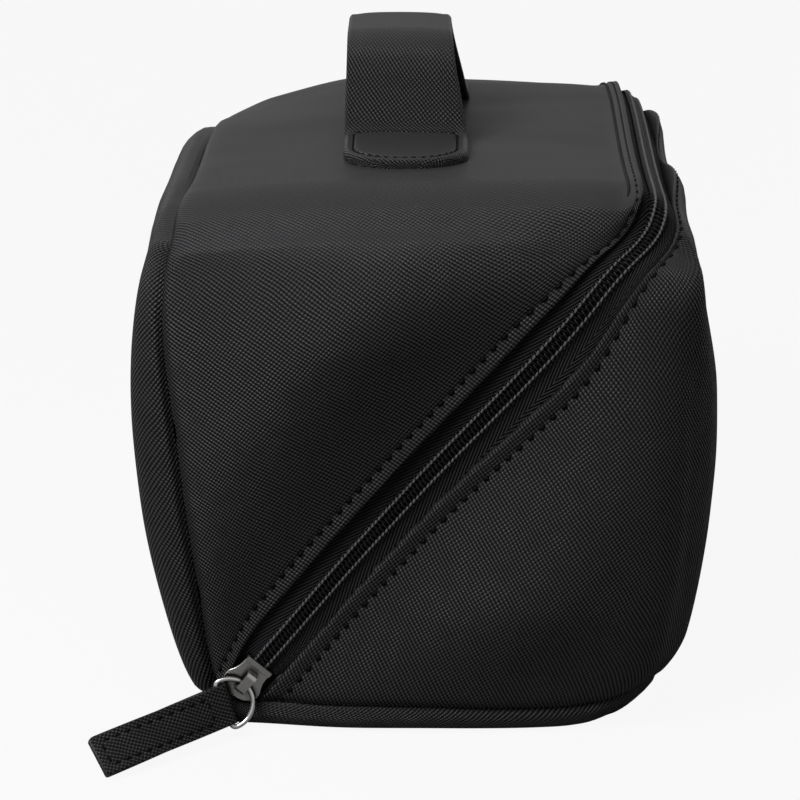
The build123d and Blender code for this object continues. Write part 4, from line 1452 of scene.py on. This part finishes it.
@dataclass
class Handle:
    """Padded strap over the top, its two rounded ends sewn flat in a stitched box."""

    middle: float = -0.005
    width: float = 0.0362
    thickness: float = 0.004
    rise: float = 0.032
    half_length: float = 0.074
    foot_half: float = 0.036
    top_half: float = 0.025
    end_radius: float = 0.0165
    foot_bend: float = 0.007
    top_bend: float = 0.016
    seat_gap: float = 0.0001
    edge_round: float = 0.0015
    stitch_inset: float = 0.0029
    stitch_pitch: float = 0.0027
    cross_row: float = 0.0365
    taper: float = 0.11
    lean: float = 0.0013
    groove: float = 0.0005
    groove_width: float = 0.00042
    crown: float = 0.0006
    thread: float = 0.00034

    def route(self) -> Array:
        """Middle line of the strap in YZ, from its near end to its far end."""
        low = form.crown_height + self.seat_gap + self.thickness / 2
        high = form.crown_height + self.rise - self.thickness / 2
        corners = [(-self.half_length, low), (-self.foot_half, low), (-self.top_half, high), (self.top_half, high),
                   (self.foot_half, low), (self.half_length, low)]
        runs = [np.linspace(a, b, 60) for a, b in zip(corners, corners[1:])]
        bends = []
        for place, radius in enumerate((self.foot_bend, self.top_bend, self.top_bend, self.foot_bend)):
            runs[place], bend, runs[place + 1] = round_corner(runs[place], runs[place + 1], radius)
            bends.append(bend)
        pieces = [runs[0]]
        for bend, run in zip(bends, runs[1:]):
            pieces += [bend, run]
        return np.concatenate(pieces)

    def bend(self, line: Array, flat: Array) -> Array:
        """Lays flat points, given as length, width and height, along the strap's route."""
        total = line_length(line)
        here = along_line(line, flat[:, 0] + total / 2)
        step = 0.4 * MM
        ahead = along_line(line, np.clip(flat[:, 0] + total / 2 + step, 0, total))
        behind = along_line(line, np.clip(flat[:, 0] + total / 2 - step, 0, total))
        heading = unit(ahead - behind)
        up = np.stack([-heading[:, 1], heading[:, 0]], 1)
        spot = here + up * flat[:, 2:]
        high = smoothstep(spot[:, 1], form.crown_height, form.crown_height + self.rise)
        across = self.middle + flat[:, 1] * (1 - self.taper * high) - self.lean * high
        return np.stack([across, spot[:, 0], spot[:, 1]], 1)

    def build(self) -> None:
        """Makes the strap and its stitched boxes."""
        line = self.route()
        half = line_length(line) / 2
        patch = Patch(half, self.width / 2, self.end_radius, 0.0013)
        row = half - self.cross_row

        def from_row(points: Array, normals: Array) -> Array:
            """Distance past the cross row, towards the strap's ends."""
            return np.abs(points[:, 0]) - row

        rim = [share * self.edge_round for share in (0.08, 0.25, 0.5, 0.8, 1.1)]
        groove = [self.stitch_inset + offset * MM for offset in (-0.5, -0.25, 0, 0.25, 0.5, 1.2)]
        folds = [(patch.inset, level) for level in rim + groove]
        folds += [(from_row, offset * MM) for offset in (-0.5, -0.25, 0, 0.25, 0.5)]
        sheet = patch.cut(folds)
        inset = patch.inset(sheet.points, sheet.normals)
        past_row = from_row(sheet.points, sheet.normals)
        rounding = np.sqrt(1 - (1 - np.clip(inset / self.edge_round, 0.01, 1)) ** 2)
        sewn = smoothstep(past_row, -1.5 * MM, 0.5 * MM)
        box = np.exp(-((inset - self.stitch_inset) / self.groove_width) ** 2) * sewn
        box += (np.exp(-(past_row / self.groove_width) ** 2)
                * smoothstep(inset, self.stitch_inset - MM, self.stitch_inset))
        swell = self.crown * (1 - np.exp(-np.clip(inset - self.stitch_inset, 0, 1) / (4 * MM)))
        top = self.thickness / 2 * rounding - self.groove * np.clip(box, 0, 1) + swell
        flat = np.concatenate([sheet.points[:, :2], top[:, None]], 1)
        under = np.concatenate([sheet.points[:, :2], -(self.thickness / 2 * rounding)[:, None]], 1)
        faces = sheet.closed_faces()
        cloud = self.bend(line, np.concatenate([flat, under]))
        over = sheet.points[:, :2] + patch.outward(sheet.points) * (self.thickness / 2 * (1 - rounding))[:, None]
        pattern = np.concatenate([over, over + patch.outward(sheet.points) * self.thickness])
        strap = Sheet(cloud, np.zeros_like(cloud), faces, pattern).build("handle_padded_strap")
        EmbossedSheet().put_on(strap)
        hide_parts("handle_strap", "handle_core")
        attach(strap, Body.LID.value)
        self.box_stitches(line, half, row)
        log.info("handle: %d faces", len(faces))

    def box_stitches(self, line: Array, half: float, row: float) -> None:
        """Stitches of the box at each end of the strap."""
        lift = self.thickness / 2 + self.crown * 0.1
        wide = self.width / 2 - self.stitch_inset
        curve = self.end_radius - self.stitch_inset
        turn = np.linspace(0, math.pi / 2, 12)
        tip = half - self.stitch_inset
        corner = [(tip - curve + curve * math.sin(t), wide - curve + curve * math.cos(t)) for t in turn]
        side = [(u, wide) for u in np.linspace(row, tip - curve, 16)[:-1]]
        upper = side + corner
        lower = [(u, -v) for u, v in reversed(upper)]
        middle = [(tip, v) for v in np.linspace(upper[-1][1], -upper[-1][1], 8)[1:-1]]
        across = [(row, v) for v in np.linspace(-wide, wide, 24)]
        rows = []
        for mark in (1, -1):
            for path in (upper + middle + lower, across):
                flat = np.array([(mark * u, v, lift - 0.3 * self.groove) for u, v in path])
                route = self.bend(line, flat)
                facing = unit(self.bend(line, flat + [0, 0, MM]) - route)
                rows.append(thread_stitches(route, facing, self.stitch_pitch, self.thread, share=0.5))
        made = joined(rows).build("handle_stitches")
        Thread(title="polyester_thread_handle", colour="#050506", gloss=0.03).put_on(made)
        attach(made, Body.LID.value)


@dataclass
class Zip:
    """Woven tapes, wound coils and the two rows of chain stitch that hold each coil to its tape."""

    tape_half: float = 0.0162
    tape_edge: float = 0.0009
    tape: float = 0.0007
    crest: float = 0.00035
    crest_at: float = 0.0045
    dip: float = 0.0010
    dip_span: tuple[float, float] = (0.0095, 0.0125)
    gather: float = 0.045
    foot_height: float = 0.0066
    coil_pitch: float = 0.00135
    coil_wire: float = 0.00027
    coil_head: float = -0.0007
    coil_outer: float = 0.0030
    coil_top: float = 0.00135
    row: float = 0.0020
    link_pitch: float = 0.0015
    link_slant: float = 0.00014
    link_thread: float = 0.00037
    start: float = 0.0200
    foot_share: float = 0.5

    def first_run(self, offset: float) -> float:
        """Distance along the route at which the line at this offset clears the floor seam."""
        return max((self.foot_height - offset * math.cos(form.zip_slope)) / math.sin(form.zip_slope), 0)

    def tape_sheet(self, mark: int) -> Sheet:
        """One tape, from its inner edge to under the hem.

        Args:
            mark: 1 for the lid's side and -1 for the base's.

        Returns:
            The tape as a closed surface.
        """
        offsets = [self.tape_edge, 0.0015, 0.0024, 0.0033, 0.0042, 0.0056, 0.0075, 0.0095, 0.0115, 0.0135,
                   self.tape_half]
        total = track.length()
        runs = np.concatenate([np.linspace(0, track.climb, 90, endpoint=False),
                               np.linspace(track.climb, total - track.climb, 160, endpoint=False),
                               np.linspace(total - track.climb, total, 91)])
        points, normals, pattern = [], [], []
        for run in runs:
            for offset in offsets:
                first = self.first_run(mark * offset)
                shift = first * max(0.0, 1 - min(run, total - run) / track.climb)
                place = run + shift if run < total / 2 else run - shift
                crest = self.crest * math.exp(-((offset - self.crest_at) / (2 * MM)) ** 2)
                crest -= self.dip * float(smoothstep(np.array(offset), *self.dip_span))
                ends = float(smoothstep(np.array(min(run, total - run)), 0.0, self.gather))
                reach = offset * (self.foot_share + (1 - self.foot_share) * ends)
                points.append(track.place(place, mark * reach, crest))
                normals.append(track.place(place, mark * reach, crest + MM) - points[-1])
                pattern.append((place, offset))
        faces = grid_faces(len(runs), len(offsets))
        if mark > 0:
            faces = [face[::-1] for face in faces]
        normals = np.array([normal.normalized() for normal in normals])
        sheet = Sheet(np.array(points), normals, faces, np.array(pattern))
        flat = np.zeros(len(points))
        return sheet.thick(flat, flat - self.tape)

    def coil_sheet(self, mark: int) -> Sheet:
        """One side's coil, a single wound filament whose heads cross the middle line."""
        total = track.length()
        turns = int((total - 2 * self.start) / self.coil_pitch)
        steps = 10
        centre, reach = (self.coil_head + self.coil_outer) / 2, (self.coil_outer - self.coil_head) / 2
        route = []
        for step in range(turns * steps):
            turn = step / steps
            angle = 2 * math.pi * turn
            run = self.start + (turn + (0.5 if mark < 0 else 0)) * self.coil_pitch
            offset = mark * (centre + reach * math.cos(angle))
            lift = self.coil_top / 2 * (1 + math.sin(angle)) + self.coil_wire
            route.append(track.place(run, offset, lift))
        return tube(np.array(route), self.coil_wire, 5)

    def chain_sheet(self, mark: int) -> Sheet:
        """One row of plump chain stitches over the coil, each dipping where the next one starts."""
        total = track.length()
        links = int((total - 2 * self.start) / self.link_pitch)
        rows = []
        for link in range(links):
            middle = self.start + (link + 0.5) * self.link_pitch
            route = []
            for share in np.linspace(-1, 1, 6):
                run = middle + 0.30 * self.link_pitch * share
                offset = mark * self.row + self.link_slant * share
                lift = self.coil_top + 2.2 * self.coil_wire - 0.5 * MM * share ** 4
                route.append(track.place(run, offset, lift))
            rows.append(tube(np.array(route), self.link_thread, 6))
        return joined(rows)

    def hand_over(self, piece: bpy.types.Object, mark: int, slot: str, *nodes: str) -> None:
        """Hides the nodes that a piece stands for, then settles it with the lid's half or the base's half: only the
        base's half is attached to its body.
        """
        if nodes:
            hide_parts(*nodes)
        settle(piece, Body.LID if mark > 0 else Body.BASE)
        log.info("%s: %d faces", piece.name, len(piece.data.polygons))

    def build(self) -> None:
        """Makes both halves of the zip."""
        for mark, side in ((1, "lid"), (-1, "base")):
            tape = self.tape_sheet(mark).build(f"{side}_woven_tape")
            WovenTape().put_on(tape)
            self.hand_over(tape, mark, "zip_tape", f"{side}_zip_tape")
            coil = self.coil_sheet(mark).build(f"{side}_wound_coil")
            DrawnNylon().put_on(coil)
            self.hand_over(coil, mark, "zip_coil", f"{side}_coil")
            chain = self.chain_sheet(mark).build(f"{side}_chain_stitch")
            # The chain thread is coloured mid grey, lighter than the black tape, as a painted sheen.
            Thread(title="polyester_thread_chain", colour="#3d3d3f").put_on(chain)
            self.hand_over(chain, mark, "zip_coil")


@dataclass
class PullTab:
    """Leather strip folded over the ring's straight side, sewn round a board and a little twisted."""

    width: float = 0.0122
    length: float = 0.045
    leather: float = 0.00075
    wire: float = 0.0015
    slack: float = 0.0001
    play: float = 0.0005
    twist: float = math.radians(26)
    tunnel: float = 0.004
    run: tuple[float, float, float] = (-0.80, -0.59, -0.11)
    stitch_inset: float = 0.0024
    stitch_pitch: float = 0.0032
    thread: float = 0.00032

    def __post_init__(self) -> None:
        """Takes the ring's straight side from the frame's joint and works out the fold round it."""
        joint = next(joint for joint in frame["joints"] if joint["name"] == "tab_swing")
        self.bar = Vector(joint["pos_m"])
        axis = Vector(joint["axis"]).normalized()
        self.heading = Vector(self.run).normalized()
        self.side = (axis - self.heading * axis.dot(self.heading)).normalized()
        self.facing = self.heading.cross(self.side)
        self.layer = (self.wire + 2 * self.slack + self.leather) / 2
        yaw = abs(math.tan(axis.angle(self.side))) * self.width / 2
        self.back = self.wire / 2 + yaw + self.play - (self.wire / 2 + self.slack)
        self.fold = math.pi / 2 * self.layer
        self.end = self.length - self.wire / 2 - yaw - self.play - self.leather

    def place(self, distance: float, side: float, height: float) -> Vector:
        """A point of the tab, by its distance from the bar, its place across and its height over the middle."""
        share = max(0.0, (distance - self.tunnel) / (self.end - self.tunnel))
        angle = self.twist * share
        across = self.side * math.cos(angle) + self.facing * math.sin(angle)
        up = self.heading.cross(across)
        return self.bar + self.heading * distance + across * side + up * height

    def wrapped(self, flat: Array) -> Array:
        """Folds flat points, given as length, width and height, round the bar."""
        made = []
        for u, v, h in flat.tolist():
            if abs(u) < self.fold:
                angle = u / self.layer
                reach = self.layer + h
                made.append(self.place(-self.back - reach * math.cos(angle), v, reach * math.sin(angle)))
            else:
                mark = math.copysign(1, u)
                made.append(self.place(abs(u) - self.fold - self.back, v, mark * (self.layer + h)))
        return np.array(made)

    def build(self) -> None:
        """Makes the strip, its board and its stitches."""
        half = self.end + self.back + self.fold
        patch = Patch(half, self.width / 2, 0.0006, 0.0009)
        levels = [level * MM for level in (0.12, 0.35, 0.7, 1.6, 2.1, 2.4, 2.7, 3.2)]
        sheet = patch.cut([(patch.inset, level) for level in levels])
        inset = patch.inset(sheet.points, sheet.normals)
        rounding = np.sqrt(1 - (1 - np.clip(inset / (0.5 * MM), 0.02, 1)) ** 2)
        groove = 0.14 * MM * np.exp(-((inset - self.stitch_inset) / (0.35 * MM)) ** 2)
        legs = smoothstep(np.abs(sheet.points[:, 0]), self.fold + 3 * MM, self.fold + 4.5 * MM)
        outer = self.leather / 2 * (0.35 + 0.65 * rounding) - groove * legs
        inner = np.full(len(outer), -self.leather / 2)
        flat = np.concatenate([np.column_stack([sheet.points[:, :2], outer]),
                               np.column_stack([sheet.points[:, :2], inner])])
        faces = sheet.closed_faces()
        pattern = np.concatenate([sheet.points[:, :2]] * 2)
        folded = Sheet(self.wrapped(flat), np.zeros_like(flat), faces, pattern)
        strip = folded.build("tab_folded_strip", standing=False)
        EmbossedSheet().put_on(strip)
        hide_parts("pull_tab_leather")
        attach(strip, Body.TAB.value)
        self.board()
        self.rows()
        log.info("pull tab: %d faces", len(faces))

    def board(self) -> None:
        """Board between the two layers, whose cut edge shows as a line along the tab's sides."""
        stations = np.linspace(self.tunnel, self.end - 0.15 * MM, 24)
        thick = self.layer - self.leather / 2 - 0.02 * MM
        wide = self.width / 2 - 0.25 * MM
        points = [self.place(run, side * wide, height * thick) for run in stations
                  for side, height in ((-1, -1), (1, -1), (1, 1), (-1, 1))]
        faces = [(4 * i + j, 4 * i + (j + 1) % 4, 4 * i + 4 + (j + 1) % 4, 4 * i + 4 + j)
                 for i in range(len(stations) - 1) for j in range(4)]
        last = 4 * len(stations) - 4
        faces += [(3, 2, 1, 0), (last, last + 1, last + 2, last + 3)]
        made = Sheet(np.array(points), np.zeros((len(points), 3)), faces).build("tab_board", standing=False)
        PressedBoard().put_on(made)
        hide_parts("pull_tab_filler")
        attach(made, Body.TAB.value)

    def rows(self) -> None:
        """A rectangle of stitches on both faces."""
        wide = self.width / 2 - self.stitch_inset
        first, last = self.tunnel + 1.2 * MM, self.end - self.stitch_inset
        height = self.layer + self.leather / 2
        made = []
        for mark in (1, -1):
            paths = [[(run, side) for run in np.linspace(first, last, 30)] for side in (wide, -wide)]
            paths += [[(run, side) for side in np.linspace(-wide, wide, 10)] for run in (first, last)]
            for path in paths:
                route = np.array([self.place(run, side, mark * height) for run, side in path])
                above = np.array([self.place(run, side, mark * (height + MM)) for run, side in path])
                made.append(thread_stitches(route, (above - route) / MM, self.stitch_pitch, self.thread,
                                            share=0.62))
        rows = joined(made).build("tab_stitches", standing=False)
        Thread(title="polyester_thread_tab", colour="#050506", gloss=0.03).put_on(rows)
        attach(rows, Body.TAB.value)


@dataclass
class Floor:
    """Padded floor of the case, its lining drawn over a foam pad and a board."""

    inset: float = 0.0068
    board_top: float = 0.0032
    board: float = 0.0012
    low: float = 0.0034
    high: float = 0.0062
    crown: float = 0.0016
    edge_round: float = 0.003

    def build(self) -> None:
        """Makes the padded floor."""
        patch = Patch(form.length / 2 - self.inset, form.foot_width / 2 - self.inset, 0.006, 0.004)
        sheet = patch.cut([(patch.inset, level) for level in (0.3 * MM, 0.8 * MM, 1.6 * MM, 3 * MM, 6 * MM)])
        inset = patch.inset(sheet.points, sheet.normals)
        rounding = np.sqrt(1 - (1 - np.clip(inset / self.edge_round, 0.01, 1)) ** 2)
        sheet.points = np.column_stack([sheet.points[:, 1], sheet.points[:, 0], np.zeros(len(inset))])
        sheet.faces = [face[::-1] for face in sheet.faces]
        top = self.low + (self.high - self.low) * rounding + self.crown * (1 - np.exp(-inset / 0.02))
        top += 0.3 * MM * drift(sheet.points, 0.03, 2.2)
        made = sheet.thick(top, np.full(len(top), self.low)).build("floor_pad_lined")
        LiningCloth().put_on(made)
        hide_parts("base_floor_lining", "base_floor_pad")
        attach(made, Body.BASE.value)
        flat = np.zeros(len(top))
        stiff = sheet.thick(flat + self.board_top, flat + self.board_top - self.board).build("floor_board")
        PressedBoard().put_on(stiff)
        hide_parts("base_floor_board")
        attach(stiff, Body.BASE.value)


class Hardware:
    """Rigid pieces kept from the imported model, with their real finishes."""

    finishes: dict[str, Finish] = {
        "slider_body": NickelPlate(),
        "pull_ring": NickelPlate(title="nickel_plate_wire", colour="#a3a2a0", roughness=0.18),
        "handle_anchor_patches": PressedBoard(),
    }

    def build(self) -> None:
        """Dresses each kept node."""
        for node, finish in self.finishes.items():
            finish.put_on(frame["nodes"][node])
            log.info("%s: %s", node, finish.title)


@dataclass
class Studio:
    """Pale floor, soft lights and the photograph's camera."""

    eye: tuple[float, float, float] = (-0.00616, -0.783, 0.317)
    pitch: float = math.radians(17.78)
    focal_pixels: float = 2500.0
    frame_pixels: float = 800.0
    sensor: float = 36.0
    ambient: float = 0.08
    key: float = 11.8
    rear: float = 6.0

    def camera(self) -> None:
        """The photograph's view, with its long focal length."""
        data = bpy.data.cameras.new("view")
        data.sensor_width = self.sensor
        data.lens = self.focal_pixels * self.sensor / self.frame_pixels
        data.clip_start, data.clip_end = 0.01, 20
        made = bpy.data.objects.new("view", data)
        made.location = self.eye
        made.rotation_euler = Euler((math.pi / 2 - self.pitch, 0, 0))
        bpy.context.collection.objects.link(made)
        bpy.context.scene.camera = made

    def floor(self) -> None:
        """A pale floor that keeps a faint shadow."""
        mesh = bpy.data.meshes.new("floor")
        reach, low = 6.0, -0.0002
        corners = ((-reach, -reach), (reach, -reach), (reach, reach), (-reach, reach))
        mesh.from_pydata([(x, y, low) for x, y in corners], [], [(0, 1, 2, 3)])
        made = bpy.data.objects.new("floor", mesh)
        bpy.context.collection.objects.link(made)
        material, tree, shader = new_material("paper_backdrop_matt")
        set_inputs(tree, shader, {"Base Color": linear("#808080"), "Roughness": 0.9})
        path = add_node(tree, "ShaderNodeLightPath")
        glow = add_node(tree, "ShaderNodeEmission", {"Color": (1, 1, 1, 1), "Strength": 1.0})
        share = add_node(tree, "ShaderNodeMath", {0: path.outputs["Is Camera Ray"], 1: 0.92}, operation="MULTIPLY")
        mixed = add_node(tree, "ShaderNodeMixShader",
                         {0: share.outputs[0], 1: shader.outputs["BSDF"], 2: glow.outputs[0]})
        output = next(node for node in tree.nodes if node.type == "OUTPUT_MATERIAL")
        tree.links.new(mixed.outputs[0], output.inputs["Surface"])
        mesh.materials.append(material)

    def lights(self) -> None:
        """A soft lamp over the front and a broader one behind."""
        lamps = (("key", (-0.34, -0.50, 0.66), (0, -0.05, 0.12), 0.42, self.key),
                 ("rear", (-0.10, 1.25, 1.30), (0, 0, 0.1), 1.0, self.rear))
        for name, place, target, size, power in lamps:
            data = bpy.data.lights.new(name, "AREA")
            data.size, data.energy = size, power
            made = bpy.data.objects.new(name, data)
            made.location = place
            made.rotation_euler = (Vector(target) - Vector(place)).to_track_quat("-Z", "Y").to_euler()
            bpy.context.collection.objects.link(made)

    def world(self) -> None:
        """White to the eye and in gloss, a plain level of light otherwise."""
        world = bpy.data.worlds.new("studio")
        world.use_nodes = True
        tree = world.node_tree
        tree.nodes.clear()
        path = add_node(tree, "ShaderNodeLightPath")
        seen = add_node(tree, "ShaderNodeMath", {0: path.outputs["Is Camera Ray"],
                                                 1: path.outputs["Is Transmission Ray"]}, operation="MAXIMUM")
        seen = add_node(tree, "ShaderNodeMath", {0: seen.outputs[0], 1: path.outputs["Is Glossy Ray"]},
                        operation="MAXIMUM")
        strength = add_node(tree, "ShaderNodeMapRange", {"Value": seen.outputs[0], "To Min": self.ambient,
                                                         "To Max": 1.0})
        back = add_node(tree, "ShaderNodeBackground", {"Color": (1, 1, 1, 1), "Strength": strength.outputs[0]})
        add_node(tree, "ShaderNodeOutputWorld", {"Surface": back.outputs[0]})
        bpy.context.scene.world = world

    def build(self) -> None:
        """Sets up the studio."""
        self.camera()
        self.floor()
        self.lights()
        self.world()
        bpy.context.scene.view_settings.view_transform = "Standard"


def main() -> None:
    """Builds the case piece by piece, then its studio."""
    logging.basicConfig(level=logging.INFO, format="%(name)s: %(message)s")
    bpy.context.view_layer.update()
    shell = Shell()
    log.info("closed form: %d points", len(shell.closed.points))
    shell.top_panel()
    shell.side_panel()
    shell.wall_panel()
    shell.bottom_panel()
    Inside(shell).build()
    Floor().build()
    Handle().build()
    Zip().build()
    PullTab().build()
    Hardware().build()
    Studio().build()


if __name__ == "__main__":
    main()
